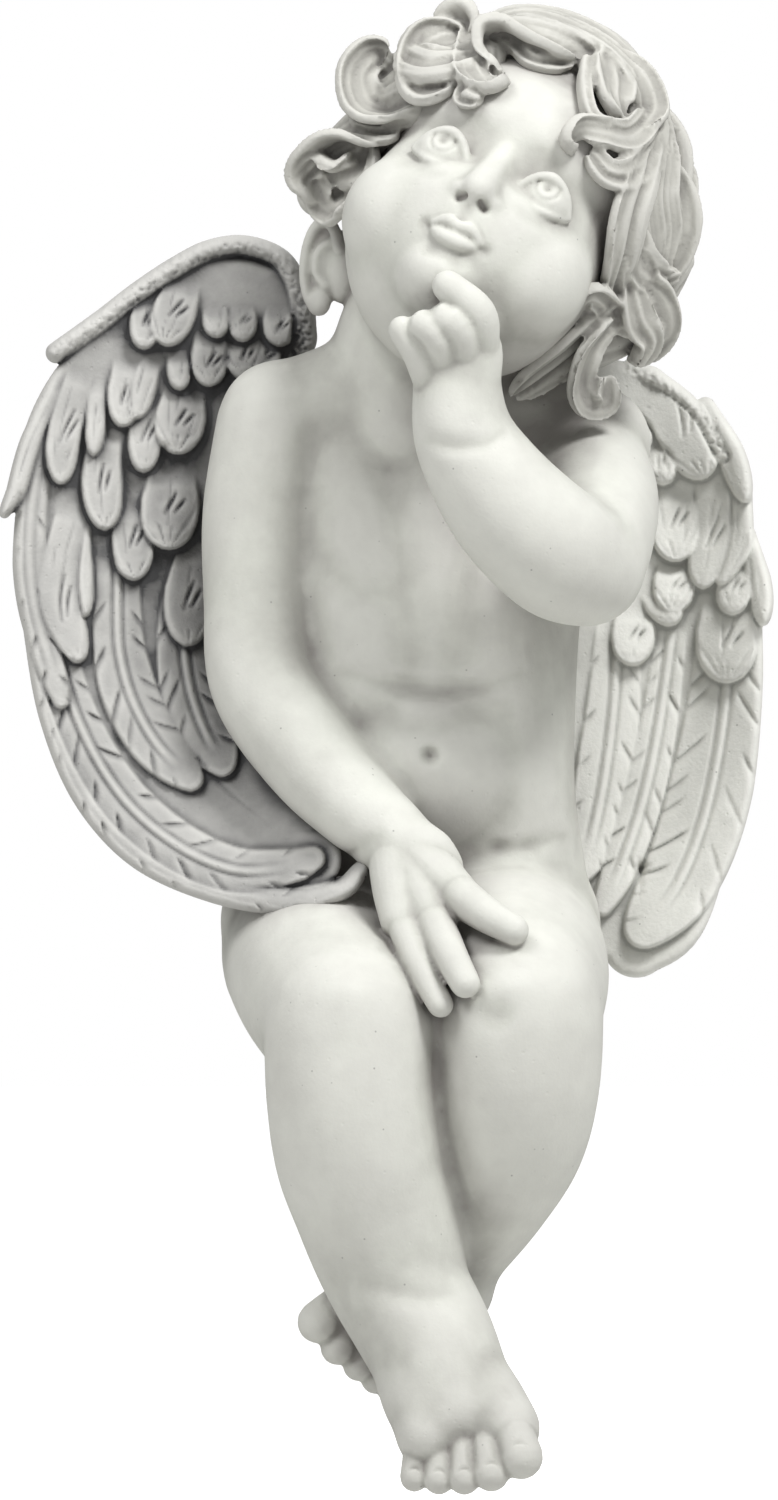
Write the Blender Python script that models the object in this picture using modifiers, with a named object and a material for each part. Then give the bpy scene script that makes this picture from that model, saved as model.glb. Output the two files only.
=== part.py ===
"""An angel statue: a seated winged child, cast in one piece of stone-finished resin.

The figure sits on a ledge with its legs over the edge and its ankles crossed. Its origin is on
the flat underside of the seat, +Z is up, and it faces -Y. Lengths are in metres.
"""

import math

import bmesh
import bpy
import numpy as np
from mathutils import Matrix, Vector

# Driving dimensions.
HEIGHT = 0.359  # top of the curls to the tips of the toes, before the skin is melted
SEAT_FRONT = 0.024  # from the origin to where the ledge's edge comes
SEAT_REACH = 0.060  # how far behind the origin the flat of the seat may run
WING_THICKNESS = 0.0050  # of the wing's core, under its feathers
FEATHER_THICKNESS = 0.0024  # how far a feather's end stands off the one below
ROLL_RADIUS = 0.0028  # of the rolled leading edge of a wing
LOCK_THICKNESS = 0.0052
CLAY = 0.0012  # grain of the skin that melts the parts into one
FINE = 0.8  # the last skin's grain, as a share of the first one's
TRIANGLES = 9600

# Pose and proportions are written for a figure 359 units high, so a unit is its own millimetre.
UNIT = HEIGHT / 359  # of a metre

STONE = ((0.70, 0.70, 0.68, 1.0), 0.72)  # colour, roughness


def clear_scene():
    for item in list(bpy.data.objects):
        bpy.data.objects.remove(item)


def smooth_path(stations, spacing=3.0):
    """A Catmull-Rom curve through rows that start x, y, z, sampled about `spacing` units apart."""
    rows = np.array(stations, float)
    ends = np.vstack([2 * rows[0] - rows[1], rows, 2 * rows[-1] - rows[-2]])
    samples = []
    for i in range(1, len(ends) - 2):
        before, start, stop, after = ends[i - 1 : i + 3]
        count = max(2, math.ceil(np.linalg.norm(stop[:3] - start[:3]) / spacing))
        for t in np.arange(count) / count:
            samples.append(
                start
                + 0.5 * (stop - before) * t
                + 0.5 * (2 * before - 5 * start + 4 * stop - after) * t**2
                + 0.5 * (3 * start - before - 3 * stop + after) * t**3
            )
    samples.append(rows[-1])
    return np.array(samples)


class Clay:
    """Closed shapes that are pressed together and then melted into one skin."""

    def __init__(self):
        self.bm = bmesh.new()

    def ball(self, centre, half, turn=(0, 0, 0), frame=Matrix()):
        """An ellipsoid with its three half sizes, turned by degrees about X, Y and Z."""
        angles = [math.radians(a) for a in turn]
        spin = Matrix.Rotation(angles[2], 4, "Z") @ Matrix.Rotation(angles[1], 4, "Y")
        spin = spin @ Matrix.Rotation(angles[0], 4, "X")
        size = Matrix.Diagonal((*half, 1))
        place = frame @ Matrix.Translation(centre) @ spin @ size
        bmesh.ops.create_uvsphere(self.bm, u_segments=32, v_segments=20, radius=1, matrix=place)

    def limb(self, stations, frame=Matrix(), spacing=3.0):
        """A round limb through rows of x, y, z and radius, with domed ends."""
        path = smooth_path(stations, spacing)
        along = np.diff(path[:, :3], axis=0)
        along /= np.linalg.norm(along, axis=1)[:, None]
        domes = []
        for end, out in ((path[0], -along[0]), (path[-1], along[-1])):
            dome = []
            for angle in np.radians((28, 52, 72, 86)):
                tip = end[:3] + out * end[3] * math.sin(angle)
                dome.append([*tip, end[3] * math.cos(angle)])
            domes.append(dome)
        rows = np.vstack([domes[0][::-1], path, domes[1]])
        curve = bpy.data.curves.new("limb", "CURVE")
        curve.dimensions = "3D"
        curve.bevel_depth = 1
        curve.bevel_resolution = 6
        curve.use_fill_caps = True
        spline = curve.splines.new("POLY")
        spline.points.add(len(rows) - 1)
        for point, row in zip(spline.points, rows):
            point.co = (*row[:3], 1)
            point.radius = row[3]
        holder = bpy.data.objects.new("limb", curve)
        bpy.context.collection.objects.link(holder)
        mesh = bpy.data.meshes.new_from_object(
            holder.evaluated_get(bpy.context.evaluated_depsgraph_get())
        )
        mesh.transform(frame)
        self.bm.from_mesh(mesh)
        bpy.data.objects.remove(holder)
        bpy.data.curves.remove(curve)

    def loft(self, rings):
        """A closed solid through rings of equally many points, with both ends fanned shut."""
        rows = [[self.bm.verts.new(point) for point in ring] for ring in rings]
        sides = len(rows[0])
        for near, far in zip(rows, rows[1:]):
            for k in range(sides):
                after = (k + 1) % sides
                self.bm.faces.new((near[k], near[after], far[after], far[k]))
        self.bm.faces.new(rows[0][::-1])
        self.bm.faces.new(rows[-1])

    def melted(self, name, voxel, passes):
        """The shapes as one skin, softened by so many smoothing passes."""
        mesh = bpy.data.meshes.new(name)
        self.bm.to_mesh(mesh)
        self.bm.free()
        mesh.transform(Matrix.Scale(UNIT, 4))
        return evaluated(name, mesh, remesh=voxel, smooth=passes)


def evaluated(name, mesh, remesh=None, smooth=0, triangles=None):
    """A new mesh: this one remeshed, smoothed and thinned to a number of triangles."""
    item = bpy.data.objects.new(name, mesh)
    bpy.context.collection.objects.link(item)
    if remesh:
        modifier = item.modifiers.new("Remesh", "REMESH")
        modifier.mode = "VOXEL"
        modifier.voxel_size = remesh
    if smooth:
        modifier = item.modifiers.new("Smooth", "SMOOTH")
        modifier.factor = 0.5
        modifier.iterations = smooth
    if triangles:
        modifier = item.modifiers.new("Decimate", "DECIMATE")
        modifier.ratio = triangles / (2 * len(mesh.polygons))
        modifier.use_collapse_triangulate = True
    made = bpy.data.meshes.new_from_object(
        item.evaluated_get(bpy.context.evaluated_depsgraph_get())
    )
    bpy.data.objects.remove(item)
    return made


def without_pockets(mesh, fewest=12):
    """The mesh without the tiny closed pockets that melting leaves between fingers and curls."""
    bm = bmesh.new()
    bm.from_mesh(mesh)
    waiting, pockets = set(bm.verts), []
    while waiting:
        group, front = set(), {waiting.pop()}
        while front:
            group |= front
            front = {edge.other_vert(v) for v in front for edge in v.link_edges} - group
        waiting -= group
        if len(group) < fewest:
            pockets += group
    bmesh.ops.delete(bm, geom=pockets, context="VERTS")
    bm.to_mesh(mesh)
    bm.free()
    return mesh


# The head's own frame: x to the figure's left, y to the back, z to the crown.
HEAD_CENTRE = (22.5, -9, 184.5)
HEAD_SIZE = 1.2
HEAD_ROLL, HEAD_PITCH, HEAD_TURN = 25, 26, -10  # towards its left, back, and to its right
HEAD = (
    Matrix.Translation(HEAD_CENTRE)
    @ Matrix.Rotation(math.radians(HEAD_ROLL), 4, "Y")
    @ Matrix.Rotation(math.radians(HEAD_TURN), 4, "Z")
    @ Matrix.Rotation(math.radians(-HEAD_PITCH), 4, "X")
    @ Matrix.Scale(HEAD_SIZE, 4)
)
SKULL_CENTRE, SKULL = (0, 4, 12), (31, 33, 29)


def trunk(clay):
    """Belly, chest and hips of a small child. The flat of the seat is cut at the end."""
    clay.ball((2.5, 4, 19), (46.3, 27, 26))
    clay.limb([(4, 2, 24, 27), (7, 0, 50, 26), (8, 1, 80, 24), (9, 3, 110, 23), (9, 4, 128, 20)])
    for side in (-1, 1):
        clay.limb(
            [
                (4 + 17 * side, 3, 24, 25),
                (7 + 11.5 * side, -2, 50, 24),
                (8 + 12 * side, 0, 80, 23),
                (9 + 15 * side, 2, 108, 21),
                (9 + 20 * side, 4, 130, 17),
            ]
        )
    clay.ball((7, -8, 54), (28, 24, 26))
    clay.ball((-14, 15, 122), (15, 11, 26), (0, 12, 0))  # the roots of the wings
    clay.ball((31, 16, 120), (15, 11, 26), (0, -12, 0))
    clay.limb([(-27, 5, 139, 15), (-4, 6, 143, 18), (22, 6, 142, 18), (46, 4, 134, 15)])
    clay.limb([(4, 6, 138, 23), (6.3, 3, 156, 22.7), (14.3, -1, 172, 22.4)])


def legs(clay):
    """Both thighs come forward off the seat. The figure's right leg crosses over its left."""
    clay.limb([(-18, 4, 11, 25.5), (-16.3, -28, 4.3, 23.8), (-12.5, -56, -5, 21)])
    clay.limb(
        [
            (-12, -59, -6, 20.6),
            (-12, -60, -21, 20.3),
            (-10, -58, -36, 20.3),
            (-6.6, -56, -48, 19.3),
            (-2.8, -54, -60, 18.2),
            (1, -55, -71, 16.4),
        ]
    )
    clay.limb([(23, 4, 12, 26), (26, -28, 6, 24.5), (28, -54, -1, 21)])
    clay.limb(
        [
            (28.2, -56, -3, 20.6),
            (28, -54, -19, 20),
            (26, -49, -33, 18.5),
            (21, -42, -46, 15.5),
            (15, -36, -57, 13),
            (10, -32, -66, 11),
        ]
    )


def toes(clay, knuckles, ends):
    """A row of short rounded toes, each from its knuckle to its end with its own radius."""
    for place, (*tip, size) in enumerate(ends):
        knuckle = Vector(knuckles[0]).lerp(Vector(knuckles[1]), place / (len(ends) - 1))
        middle = knuckle.lerp(Vector(tip), 0.5) + Vector((0, -1, 0.5))
        clay.limb([(*knuckle, size), (*middle, size * 0.94), (*tip, size)])


def feet(clay):
    """The right foot hangs in front with its toes down, and the left one shows beside it."""
    clay.limb([(1, -55, -70, 16.4), (6, -58, -79, 16.2), (11, -63, -89, 15), (15, -68, -97, 13)])
    clay.limb([(9, -60, -84, 12), (19.5, -69, -95, 10.6), (25.8, -75, -101, 8.2)])
    clay.limb([(5.5, -60, -84, 13), (7.5, -67, -96, 11.8), (7, -72, -103, 8.6)])
    clay.ball((12, -34, -68), (11, 12, 12))
    clay.ball((-2, -40, -75), (15, 9, 11), (0, 38, 0))


def all_toes(clay):
    """The toes stay crisper than the feet they are worked onto."""
    toes(
        clay,
        ((25.4, -75, -98.5), (4.6, -70, -101)),
        (
            (28.6, -80, -107.6, 5.4),
            (21.6, -80, -111.6, 4.3),
            (15.2, -78.5, -112.8, 3.9),
            (9.2, -77, -113, 3.7),
            (3.4, -75, -112.6, 3.5),
        ),
    )
    toes(
        clay,
        ((-13, -42, -72), (-2, -40, -86)),
        (
            (-19.4, -48, -76.5, 5.2),
            (-14.8, -47, -82.6, 4.3),
            (-9.8, -45, -86.8, 4),
            (-5.8, -43, -90.2, 3.7),
            (-2, -41, -93, 3.5),
        ),
    )


def resting_arm(clay):
    """The right arm comes down outside the body and lays its hand in the lap."""
    clay.limb(
        [
            (-29, 4, 139, 15.5),
            (-33, 1, 116, 15),
            (-33.5, -4, 95, 14),
            (-32.5, -12, 76, 13.5),
            (-21, -24, 58, 12.5),
            (-10, -35, 46, 10.8),
            (0, -43, 37, 9.5),
            (5, -48, 30, 8),
        ]
    )
    clay.ball((5, -47, 32), (10.5, 7, 12), (0, -35, 0))


def resting_fingers(clay):
    palm = Vector((0, -44, 36))
    fingers = (
        ((0.5, -55, 20), (4.5, -66, 9), (9.6, -71, -0.5), 3.7),
        ((7.5, -56, 20), (11.8, -69, 11.5), (15.4, -74, 4.6), 4.2),
        ((13, -54, 26), (20.5, -66, 20.8), (27, -69, 17.2), 4.3),
    )
    for knuckle, middle, tip, thick in fingers:
        clay.limb([(*palm, 8), (*palm.lerp(Vector(knuckle), 0.6), 7), (*knuckle, 5.6)])
        clay.limb([(*knuckle, thick * 1.2), (*middle, thick), (*tip, thick * 0.86)])


def raised_arm(clay):
    """The left arm bends at the elbow and brings its hand to the chin."""
    clay.limb([(42.5, 4, 131, 16), (47, -16, 120, 15.5), (45.5, -36, 108, 15)])
    clay.limb(
        [
            (44, -40, 104, 15.2),
            (37, -47, 107.5, 16),
            (25, -51, 119, 15),
            (15.5, -51, 134, 12.5),
            (13.5, -50, 146, 11),
        ]
    )
    clay.ball((13.5, -52, 154), (11.8, 8.5, 12), (0, -15, 0))


def raised_fingers(clay):
    """The forefinger lifts to the lip and the other fingers are curled."""
    clay.limb([(18.5, -54, 157, 5.4), (18.2, -59, 164, 4.7), (11.4, -60.5, 170.4, 3.9)])
    clay.limb([(15, -54, 153, 5.4), (14, -60, 159.5, 4.4), (10.8, -61, 162.8, 4.1), (10, -57, 161, 3.6)])
    clay.limb([(11, -54, 152, 5.4), (8.8, -60, 158, 4.2), (5.6, -60, 161.2, 3.9), (5.5, -56, 159, 3.4)])
    clay.limb([(8, -53, 148, 5), (4.4, -57, 154.5, 4), (0.6, -57.5, 160, 3.5)])


def head(clay):
    """Skull, cheeks, jaw and brow on plain childlike proportions, in the head's own frame."""
    clay.ball(SKULL_CENTRE, SKULL, frame=HEAD)
    clay.ball((0, -8, -9), (26, 26, 27), frame=HEAD)
    for side in (-1, 1):
        clay.ball((13.5 * side, -16, -14), (13, 13, 13.5), frame=HEAD)
    clay.ball((0, -23, -27), (9, 9, 7.5), frame=HEAD)
    clay.ball((0, -13, 11), (25, 19, 18), frame=HEAD)


def features(clay):
    """Nose, lips, eyes and the ear that shows, which stay crisper than the head under them."""
    clay.ball((0, -31, -3.5), (3.5, 4.6, 8), (-14, 0, 0), HEAD)
    clay.ball((0, -33.8, -9.6), (4.4, 4.6, 4.2), frame=HEAD)
    for side in (-1, 1):
        clay.ball((3.7 * side, -33, -11), (2.5, 3.2, 2.4), frame=HEAD)
        clay.ball((11.3 * side, -27.6, -2.5), (6.0, 5.2, 4.2), frame=HEAD)
    clay.limb([(-6, -31.2, -20, 1.2), (0, -34.4, -19, 2.1), (6, -31.2, -20, 1.2)], frame=HEAD)
    clay.limb([(-5, -31, -21.6, 1.2), (0, -33.6, -22.6, 2.3), (5, -31, -21.6, 1.2)], frame=HEAD)
    clay.ball((-18.5, 2, 177), (5.2, 3.2, 10.5), (0, 6, -38))
    clay.ball((-13, 2, 177), (6, 4, 9), (0, 6, -38))


SKULL_ROUND = 39  # radius of the ball that the locks about the face are laid on
FACING = 0.9  # share of that radius within which a lock lies on the ball itself


def on_head(x, z, lift):
    """The place on the front of the head over x, z, brought forward by `lift`."""
    skull = HEAD @ Vector(SKULL_CENTRE)
    away = math.hypot(x - skull.x, z - skull.z)
    flat = FACING * SKULL_ROUND
    if away < flat:
        return Vector((x, skull.y - math.sqrt(SKULL_ROUND**2 - away**2) - lift, z))
    rim = SKULL_ROUND * math.sqrt(1 - FACING**2)
    return Vector((x, skull.y - rim + (away - flat) * 0.35 - lift, z))


# Locks about the face, from root to curled end: x, z seen from the front, forward lift, half width.
LOCKS = (
    # crown strands swept from the top of the head down to its right side
    ((20, 234, 0, 4), (30, 237, -2, 6), (42, 234, 0, 7), (52, 228, 2, 6), (58, 220, 3, 4)),
    ((26, 238, -6, 5), (40, 236, -6, 7), (52, 229, -4, 8), (59, 217, -3, 8), (62, 204, -3, 7)),
    ((54, 227, -2, 5), (60, 214, 0, 6), (63, 200, 1, 6), (63, 186, 0, 5), (62, 172, 0, 4)),
    # forelock: rises at the parting, rolls over and falls back on the brow
    (
        (42, 226, 4, 4),
        (34, 230, 7, 5.5),
        (25, 234, 8, 5.5),
        (19, 232, 9, 5),
        (19, 226, 8, 4),
        (24, 222, 5, 2.5),
    ),
    ((41, 225, 2, 3.5), (33, 226, 4, 4), (28, 230, 4, 3.5), (22, 232, 3, 3)),
    ((18, 235, 2, 3), (17, 228, 7, 4), (17, 222, 8, 4.5), (21, 219, 8, 3.5), (26, 221, 7, 2.5)),
    ((20, 226, 3, 3), (17, 219, 6, 3), (15, 216, 8, 2.6), (19, 215, 8, 2)),
    # curl that stands on top of the head
    ((19, 227, 2, 4), (19, 233.5, 3, 4.5), (15, 237, 3, 4.5), (11, 235.5, 2, 4), (12, 233, 1, 3)),
    # next curl along the brow, opening upward
    ((14, 221, 6, 5), (7, 219, 8, 7), (4, 225, 7, 6), (6, 231, 5, 5), (12, 232, 3, 4), (16, 231, 2, 3)),
    ((16, 226, 3, 4), (8, 223, 5, 5), (2, 221, 5, 4)),
    # cupped curl at the temple, open to the front
    (
        (8, 218, 2, 4),
        (-2, 213, 5, 5.5),
        (-8.5, 215, 6, 6),
        (-10.5, 222, 5, 5.5),
        (-7.5, 227, 3, 5),
        (-3.5, 227, 1, 4),
        (-1, 223, 0, 3),
    ),
    ((6, 214, 1, 4), (-4, 211, 3, 4), (-12, 212, 4, 3.5)),
    # large curl over the ear
    (
        (0, 208, 1, 4),
        (-8, 208, 4, 6),
        (-15, 207, 5, 7),
        (-20, 203, 5, 7),
        (-22, 198, 4, 7),
        (-19, 192, 3, 6),
    ),
    ((-7, 206, 1, 4), (-9, 200, 3, 5), (-15, 199, 6, 5), (-19, 201, 6, 4), (-22, 198, 5, 3)),
    ((-7, 203, 0, 4), (-10, 196, 2, 5), (-16, 191, 3, 6), (-19, 194, 3, 5), (-21, 198, 3, 3)),
    # locks at the right temple: a hollow roll, then the curl that points at the brow
    ((46, 226, 4, 4), (46, 219, 6, 5), (47, 212, 7, 5), (52, 209, 6, 4.5), (57, 213, 4, 4)),
    ((50, 228, 3, 4), (57, 222, 4, 5), (60, 214, 4, 5), (57, 208, 4, 4)),
    (
        (60, 212, 4, 4),
        (55, 207, 7, 4.5),
        (48, 208, 8, 4),
        (43, 209, 8, 3.5),
        (40, 206, 7, 3),
        (42, 203, 5, 2.4),
    ),
    ((45, 203, 5, 3), (50, 198, 6, 4), (56, 199, 6, 4.5), (60, 205, 4, 4)),
    # long strands falling behind the cheek, and the shell that turns up outside them
    ((61, 208, 3, 5), (58, 197, 6, 6), (55, 187, 7, 6), (53, 177, 7, 5), (50, 168, 6, 3)),
    ((64, 208, 1, 6), (62, 195, 4, 7), (63, 184, 5, 6.5), (62, 174, 5, 5)),
    (
        (62, 201, 0, 6),
        (65, 195, 2, 6.5),
        (67, 187, 3, 6.5),
        (65, 179, 3, 6),
        (61, 174, 3, 5),
        (59, 175, 3, 3),
    ),
    ((56, 186, 5, 5), (57, 178, 7, 5.5), (62, 173, 7, 5), (67, 174, 5, 3)),
    (
        (55, 180, 6, 5),
        (57, 172, 8, 6),
        (61, 168, 8, 5.5),
        (63, 162, 7, 5),
        (60, 157, 6, 5),
        (55, 153, 5, 3),
    ),
    ((55, 172, 8, 4), (57, 164, 10, 5), (60, 158, 9, 4), (57, 152, 8, 2.6)),
    # small hook before the jaw, and the open rolled lock below it
    ((55, 160, 9, 3), (51, 165, 10, 3.5), (46.5, 169, 10, 3.5), (43, 167, 9, 2.6), (42, 163, 8, 2)),
    ((55, 168, 6, 5), (48, 162, 9, 6.5), (41, 155, 11, 7), (34, 150, 10, 6), (27, 145, 8, 4)),
    (
        (51, 163, 11, 3.5),
        (45.5, 156, 14, 4.5),
        (43, 148, 14, 4.5),
        (45, 143, 14, 4),
        (49.5, 143.5, 13, 3.5),
        (49.5, 150, 12, 3),
    ),
)


def lock(clay, path):
    """A flat, slightly cupped lock along rows of x, y, z and half width, laid on the skull."""
    middle = HEAD @ Vector(SKULL_CENTRE)
    angles = np.arange(14) * math.pi / 7
    swell = 1 + 0.16 * np.cos(3 * angles)
    across_shares, out_shares = np.cos(angles) * swell, np.sin(angles) * swell
    rings = []
    for i, row in enumerate(path):
        along = path[min(i + 1, len(path) - 1)][:3] - path[max(i - 1, 0)][:3]
        along /= np.linalg.norm(along)
        out = row[:3] - middle
        out -= along * (out @ along)
        out /= np.linalg.norm(out)
        across = np.cross(along, out)
        thick = LOCK_THICKNESS / UNIT / 2
        rings.append(
            [
                Vector(row[:3] + across * row[3] * aside + out * thick * up)
                for aside, up in zip(across_shares, out_shares)
            ]
        )
    clay.loft(rings)


CAP_CENTRE, CAP = (0.5, 9, 14), (32.8, 31.3, 32)
HAIR_BODIES = (  # x, y, z and radius of the rolls that fill the hair under its locks
    ((50, -14, 222, 6.5), (58, -13, 208, 7.5), (60, -13, 192, 8), (57, -14, 176, 7.5), (51, -14, 163, 6)),
    ((33, -17, 150, 4), (41, -17, 155, 6), (54, -10, 164, 8), (64, -7, 178, 7)),
    ((20, -18, 226, 6), (8, -17, 222, 7), (-4, -12, 212, 7), (-14, -10, 201, 7.5), (-19, -8, 194, 6)),
    ((22, -14, 232, 5), (34, -16, 230, 6), (46, -12, 226, 7)),
)
BACK_LOCKS = 15  # they fan out over half the head and more
TOP_LOCKS = 5  # shorter ones that run forward under the curls over the brow
BACK_REACH, TOP_REACH = 100, 46  # degrees that each kind runs down from the crown
CROWN_LEAN = -28  # degrees that the crown lies back from the top of the head
ROOT = 14  # degrees from the crown at which a strand starts
PROUD = 1.2  # how far the middle of a strand stands off the cap


def strand(turn, swing, length):
    """Stations of a strand from the crown, `swing` from straight back and `length` degrees long."""
    stations = []
    for step in range(7):
        down = math.radians(ROOT + length * step / 6)
        sway = swing + 0.16 * math.sin(1.7 * step + 2.1 * turn)
        way = Vector((math.sin(sway) * math.sin(down), math.cos(sway) * math.sin(down), math.cos(down)))
        way = Matrix.Rotation(math.radians(CROWN_LEAN), 3, "X") @ way
        reach = 1 + 0.035 * math.sin(1.9 * step + turn)
        local = Vector([w * (half + PROUD) * reach + c for w, half, c in zip(way, CAP, CAP_CENTRE)])
        stations.append((*(HEAD @ local), 4 + 3.4 * math.sin(math.pi * (step + 0.6) / 7.4)))
    return stations


def hair(clay):
    """A cap and rolled bodies of hair, cupped locks about the face and wavy strands behind."""
    clay.ball(CAP_CENTRE, CAP, frame=HEAD)
    for body in HAIR_BODIES:
        clay.limb(body)
    clay.ball((6, -16, 228), (6.5, 6, 6.5))
    clay.ball((-6, -10, 221), (7, 5, 7))
    clay.ball((15, -12, 235), (4, 5, 4))
    clay.ball((-15, -8, 201), (7, 6, 8))
    clay.ball(on_head(51, 204, 1), (6, 4, 6))
    for rows in LOCKS:
        lock(clay, smooth_path([(*on_head(x, z, lift), half) for x, z, lift, half in rows], 2.0))
    back, top = np.linspace(-118, 118, BACK_LOCKS), np.linspace(134, 226, TOP_LOCKS)
    swings = [(math.radians(swing), BACK_REACH) for swing in back]
    swings += [(math.radians(swing), TOP_REACH) for swing in top]
    for turn, (swing, length) in enumerate(swings):
        lock(clay, smooth_path(strand(turn, swing, length + 14 * max(math.cos(swing), 0)), 2.0))


# Feathers, laid from the tip of a wing upward: half width, then x, z from root to tip.
RIGHT_FLIGHT = (
    (
        4.0, (-90, 118), (-89, 104), (-87, 87), (-83, 68), (-75, 50), (-62, 36), (-44, 28), (-26, 25),
        (-13, 28), (-8, 33),
    ),
    (6.0, (-86, 96), (-78, 69), (-67, 50), (-53, 38), (-38, 32), (-24, 33), (-18, 35)),
    (4.0, (-52, 92), (-50, 71), (-47, 62), (-43, 53)),
    (5.0, (-58, 104), (-57, 84), (-54, 69), (-47, 57)),
    (6.5, (-67, 105), (-67, 84), (-63, 68), (-54, 55)),
    (4.2, (-86, 138), (-89, 115), (-88, 95), (-81, 70)),
)
RIGHT_COVERTS = (
    (2.6, (-82, 150), (-89, 135), (-93, 122), (-96, 116)),
    (3.0, (-77, 117), (-77, 104), (-76, 92)),
    (5.0, (-79, 119), (-82, 98), (-77, 81)),
    (6.0, (-49, 110), (-51, 96), (-51, 85)),
    (5.2, (-65, 120), (-64, 101)),
    (7.2, (-55, 128), (-56, 109)),
    (5.0, (-71, 138), (-72, 126), (-71, 113)),
    (4.2, (-77, 152), (-81, 136), (-82, 124)),
    (2.6, (-73, 150), (-74, 131)),
    (4.2, (-61, 146), (-62, 127)),
    (6.2, (-52, 148), (-54, 132)),
    (4.2, (-66, 155), (-67, 138)),
    (3.2, (-60, 155), (-64, 140)),
    (3.0, (-54, 157), (-53, 147)),
    (4.4, (-32, 160), (-34, 150)),
    (5.0, (-38, 161), (-37, 150)),
    (4.7, (-46, 162), (-46, 148)),
    (3.4, (-45, 168), (-44, 160)),
    (3.6, (-38, 168), (-38, 159)),
    (4.2, (-29, 168), (-29, 158)),
    (4.0, (-61, 170), (-62, 157)),
    (5.4, (-52, 174), (-57, 158)),
)
LEFT_FLIGHT = (
    (6.5, (55, 90), (53, 64), (50, 50), (44, 34)),
    (4.8, (64, 88), (62, 64), (58, 44), (50, 21)),
    (8.6, (79, 90), (80, 76), (79, 58), (75, 42), (69, 27), (62, 16), (57, 12)),
)
LEFT_COVERTS = (
    (3.0, (84, 112), (87, 100), (88, 90)),
    (5.4, (57, 95), (56, 81)),
    (4.2, (60, 100), (67, 91)),
    (7.4, (79, 97), (79, 77)),
    (5.2, (67, 106), (66, 94)),
    (4.4, (82, 106), (80, 93)),
    (3.2, (83, 122), (82, 110), (77, 100)),
    (5.0, (76, 126), (75, 111), (73, 99)),
    (6.0, (66, 124), (67, 106)),
    (3.4, (74, 143), (80, 132), (84, 120)),
    (7.0, (60, 148), (68, 139), (74, 126)),
    (4.0, (60, 134), (65, 125)),
    (3.6, (54, 138), (60, 134)),
)
# The thin web under the feathers and the rolled leading edge: x, z, half width.
RIGHT_WEB = (
    (
        (-30, 168, 9), (-47, 166, 13), (-66, 146, 14), (-74, 115, 15), (-71, 80, 16), (-56, 50, 12),
        (-34, 36, 8),
    ),
    ((-20, 140, 10), (-36, 120, 18), (-44, 92, 18), (-38, 66, 14), (-26, 48, 10)),
    ((-27, 160, 7), (-27, 170, 6), (-36, 166, 12)),
    ((-54, 42, 8), (-38, 36, 9), (-22, 34, 8)),
    ((-24, 150, 6), (-38, 142, 14), (-44, 128, 14), (-50, 100, 16)),
    ((-64, 160, 8), (-76, 150, 7), (-84, 138, 6), (-88, 124, 5)),
)
LEFT_WEB = (
    (
        (50, 148, 6), (64, 138, 9), (74, 118, 10), (77, 92, 10), (77, 64, 9), (71, 38, 9),
        (65, 20, 9), (57, 13, 8),
    ),
    ((34, 140, 12), (50, 118, 14), (54, 90, 14), (54, 60, 11), (50, 34, 10), (52, 18, 9)),
    ((70, 100, 9), (66, 70, 9), (62, 40, 9)),
)
RIGHT_ROLL = ((-24, 156), (-24, 168), (-28, 178), (-37, 182), (-54, 177), (-72, 164), (-83, 156))
LEFT_ROLL = ((56, 153), (64, 149), (72, 142), (78, 131))
# How far back each wing's web lies, at x, z seen from the front.
RIGHT_DEPTHS = (
    (-20, 154, 24), (-20, 168, 24), (-37, 183, 25), (-64, 180, 21), (-88, 157, 13), (-95, 118, 5),
    (-92, 70, -3), (-80, 40, -10), (-55, 24, -21), (-30, 20, -33), (-5, 34, -40), (-60, 120, 16),
    (-50, 85, 11), (-50, 55, -4), (-22, 120, 20), (-22, 80, 15), (-20, 42, -25), (-40, 40, -17),
)
LEFT_DEPTHS = (
    (35, 150, 24), (58, 150, 31), (82, 130, 24), (92, 95, 16), (88, 50, 12), (72, 15, 8), (55, 8, 14),
    (70, 115, 32), (70, 75, 28), (62, 40, 22), (42, 115, 22), (42, 60, 24), (42, 25, 20),
)


def bending(x, z, spots):
    """A smooth bent sheet through spots of x, z and depth, like a thin plate pinned at them."""
    spots = np.array(spots, float)
    gaps = np.hypot(spots[:, 0][:, None] - spots[:, 0], spots[:, 1][:, None] - spots[:, 1])
    count = len(spots)
    system = np.zeros((count + 3, count + 3))
    system[:count, :count] = gaps**2 * np.log(gaps + 1e-9)
    system[:count, count:] = np.column_stack([np.ones(count), spots[:, :2]])
    system[count:, :count] = system[:count, count:].T
    weights = np.linalg.solve(system, np.append(spots[:, 2], np.zeros(3)))
    sheet = weights[count] + weights[count + 1] * x + weights[count + 2] * z
    for weight, (sx, sz, _) in zip(weights, spots):
        away = np.hypot(x - sx, z - sz)
        sheet += weight * away**2 * np.log(away + 1e-9)
    return sheet


WING_GRID = 1.1  # spacing of the grid that a wing is worked on
EDGE = 1.6  # width over which a feather falls to the one under it
FAR = 99.0  # farther from every stroke than any point of a wing


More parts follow.
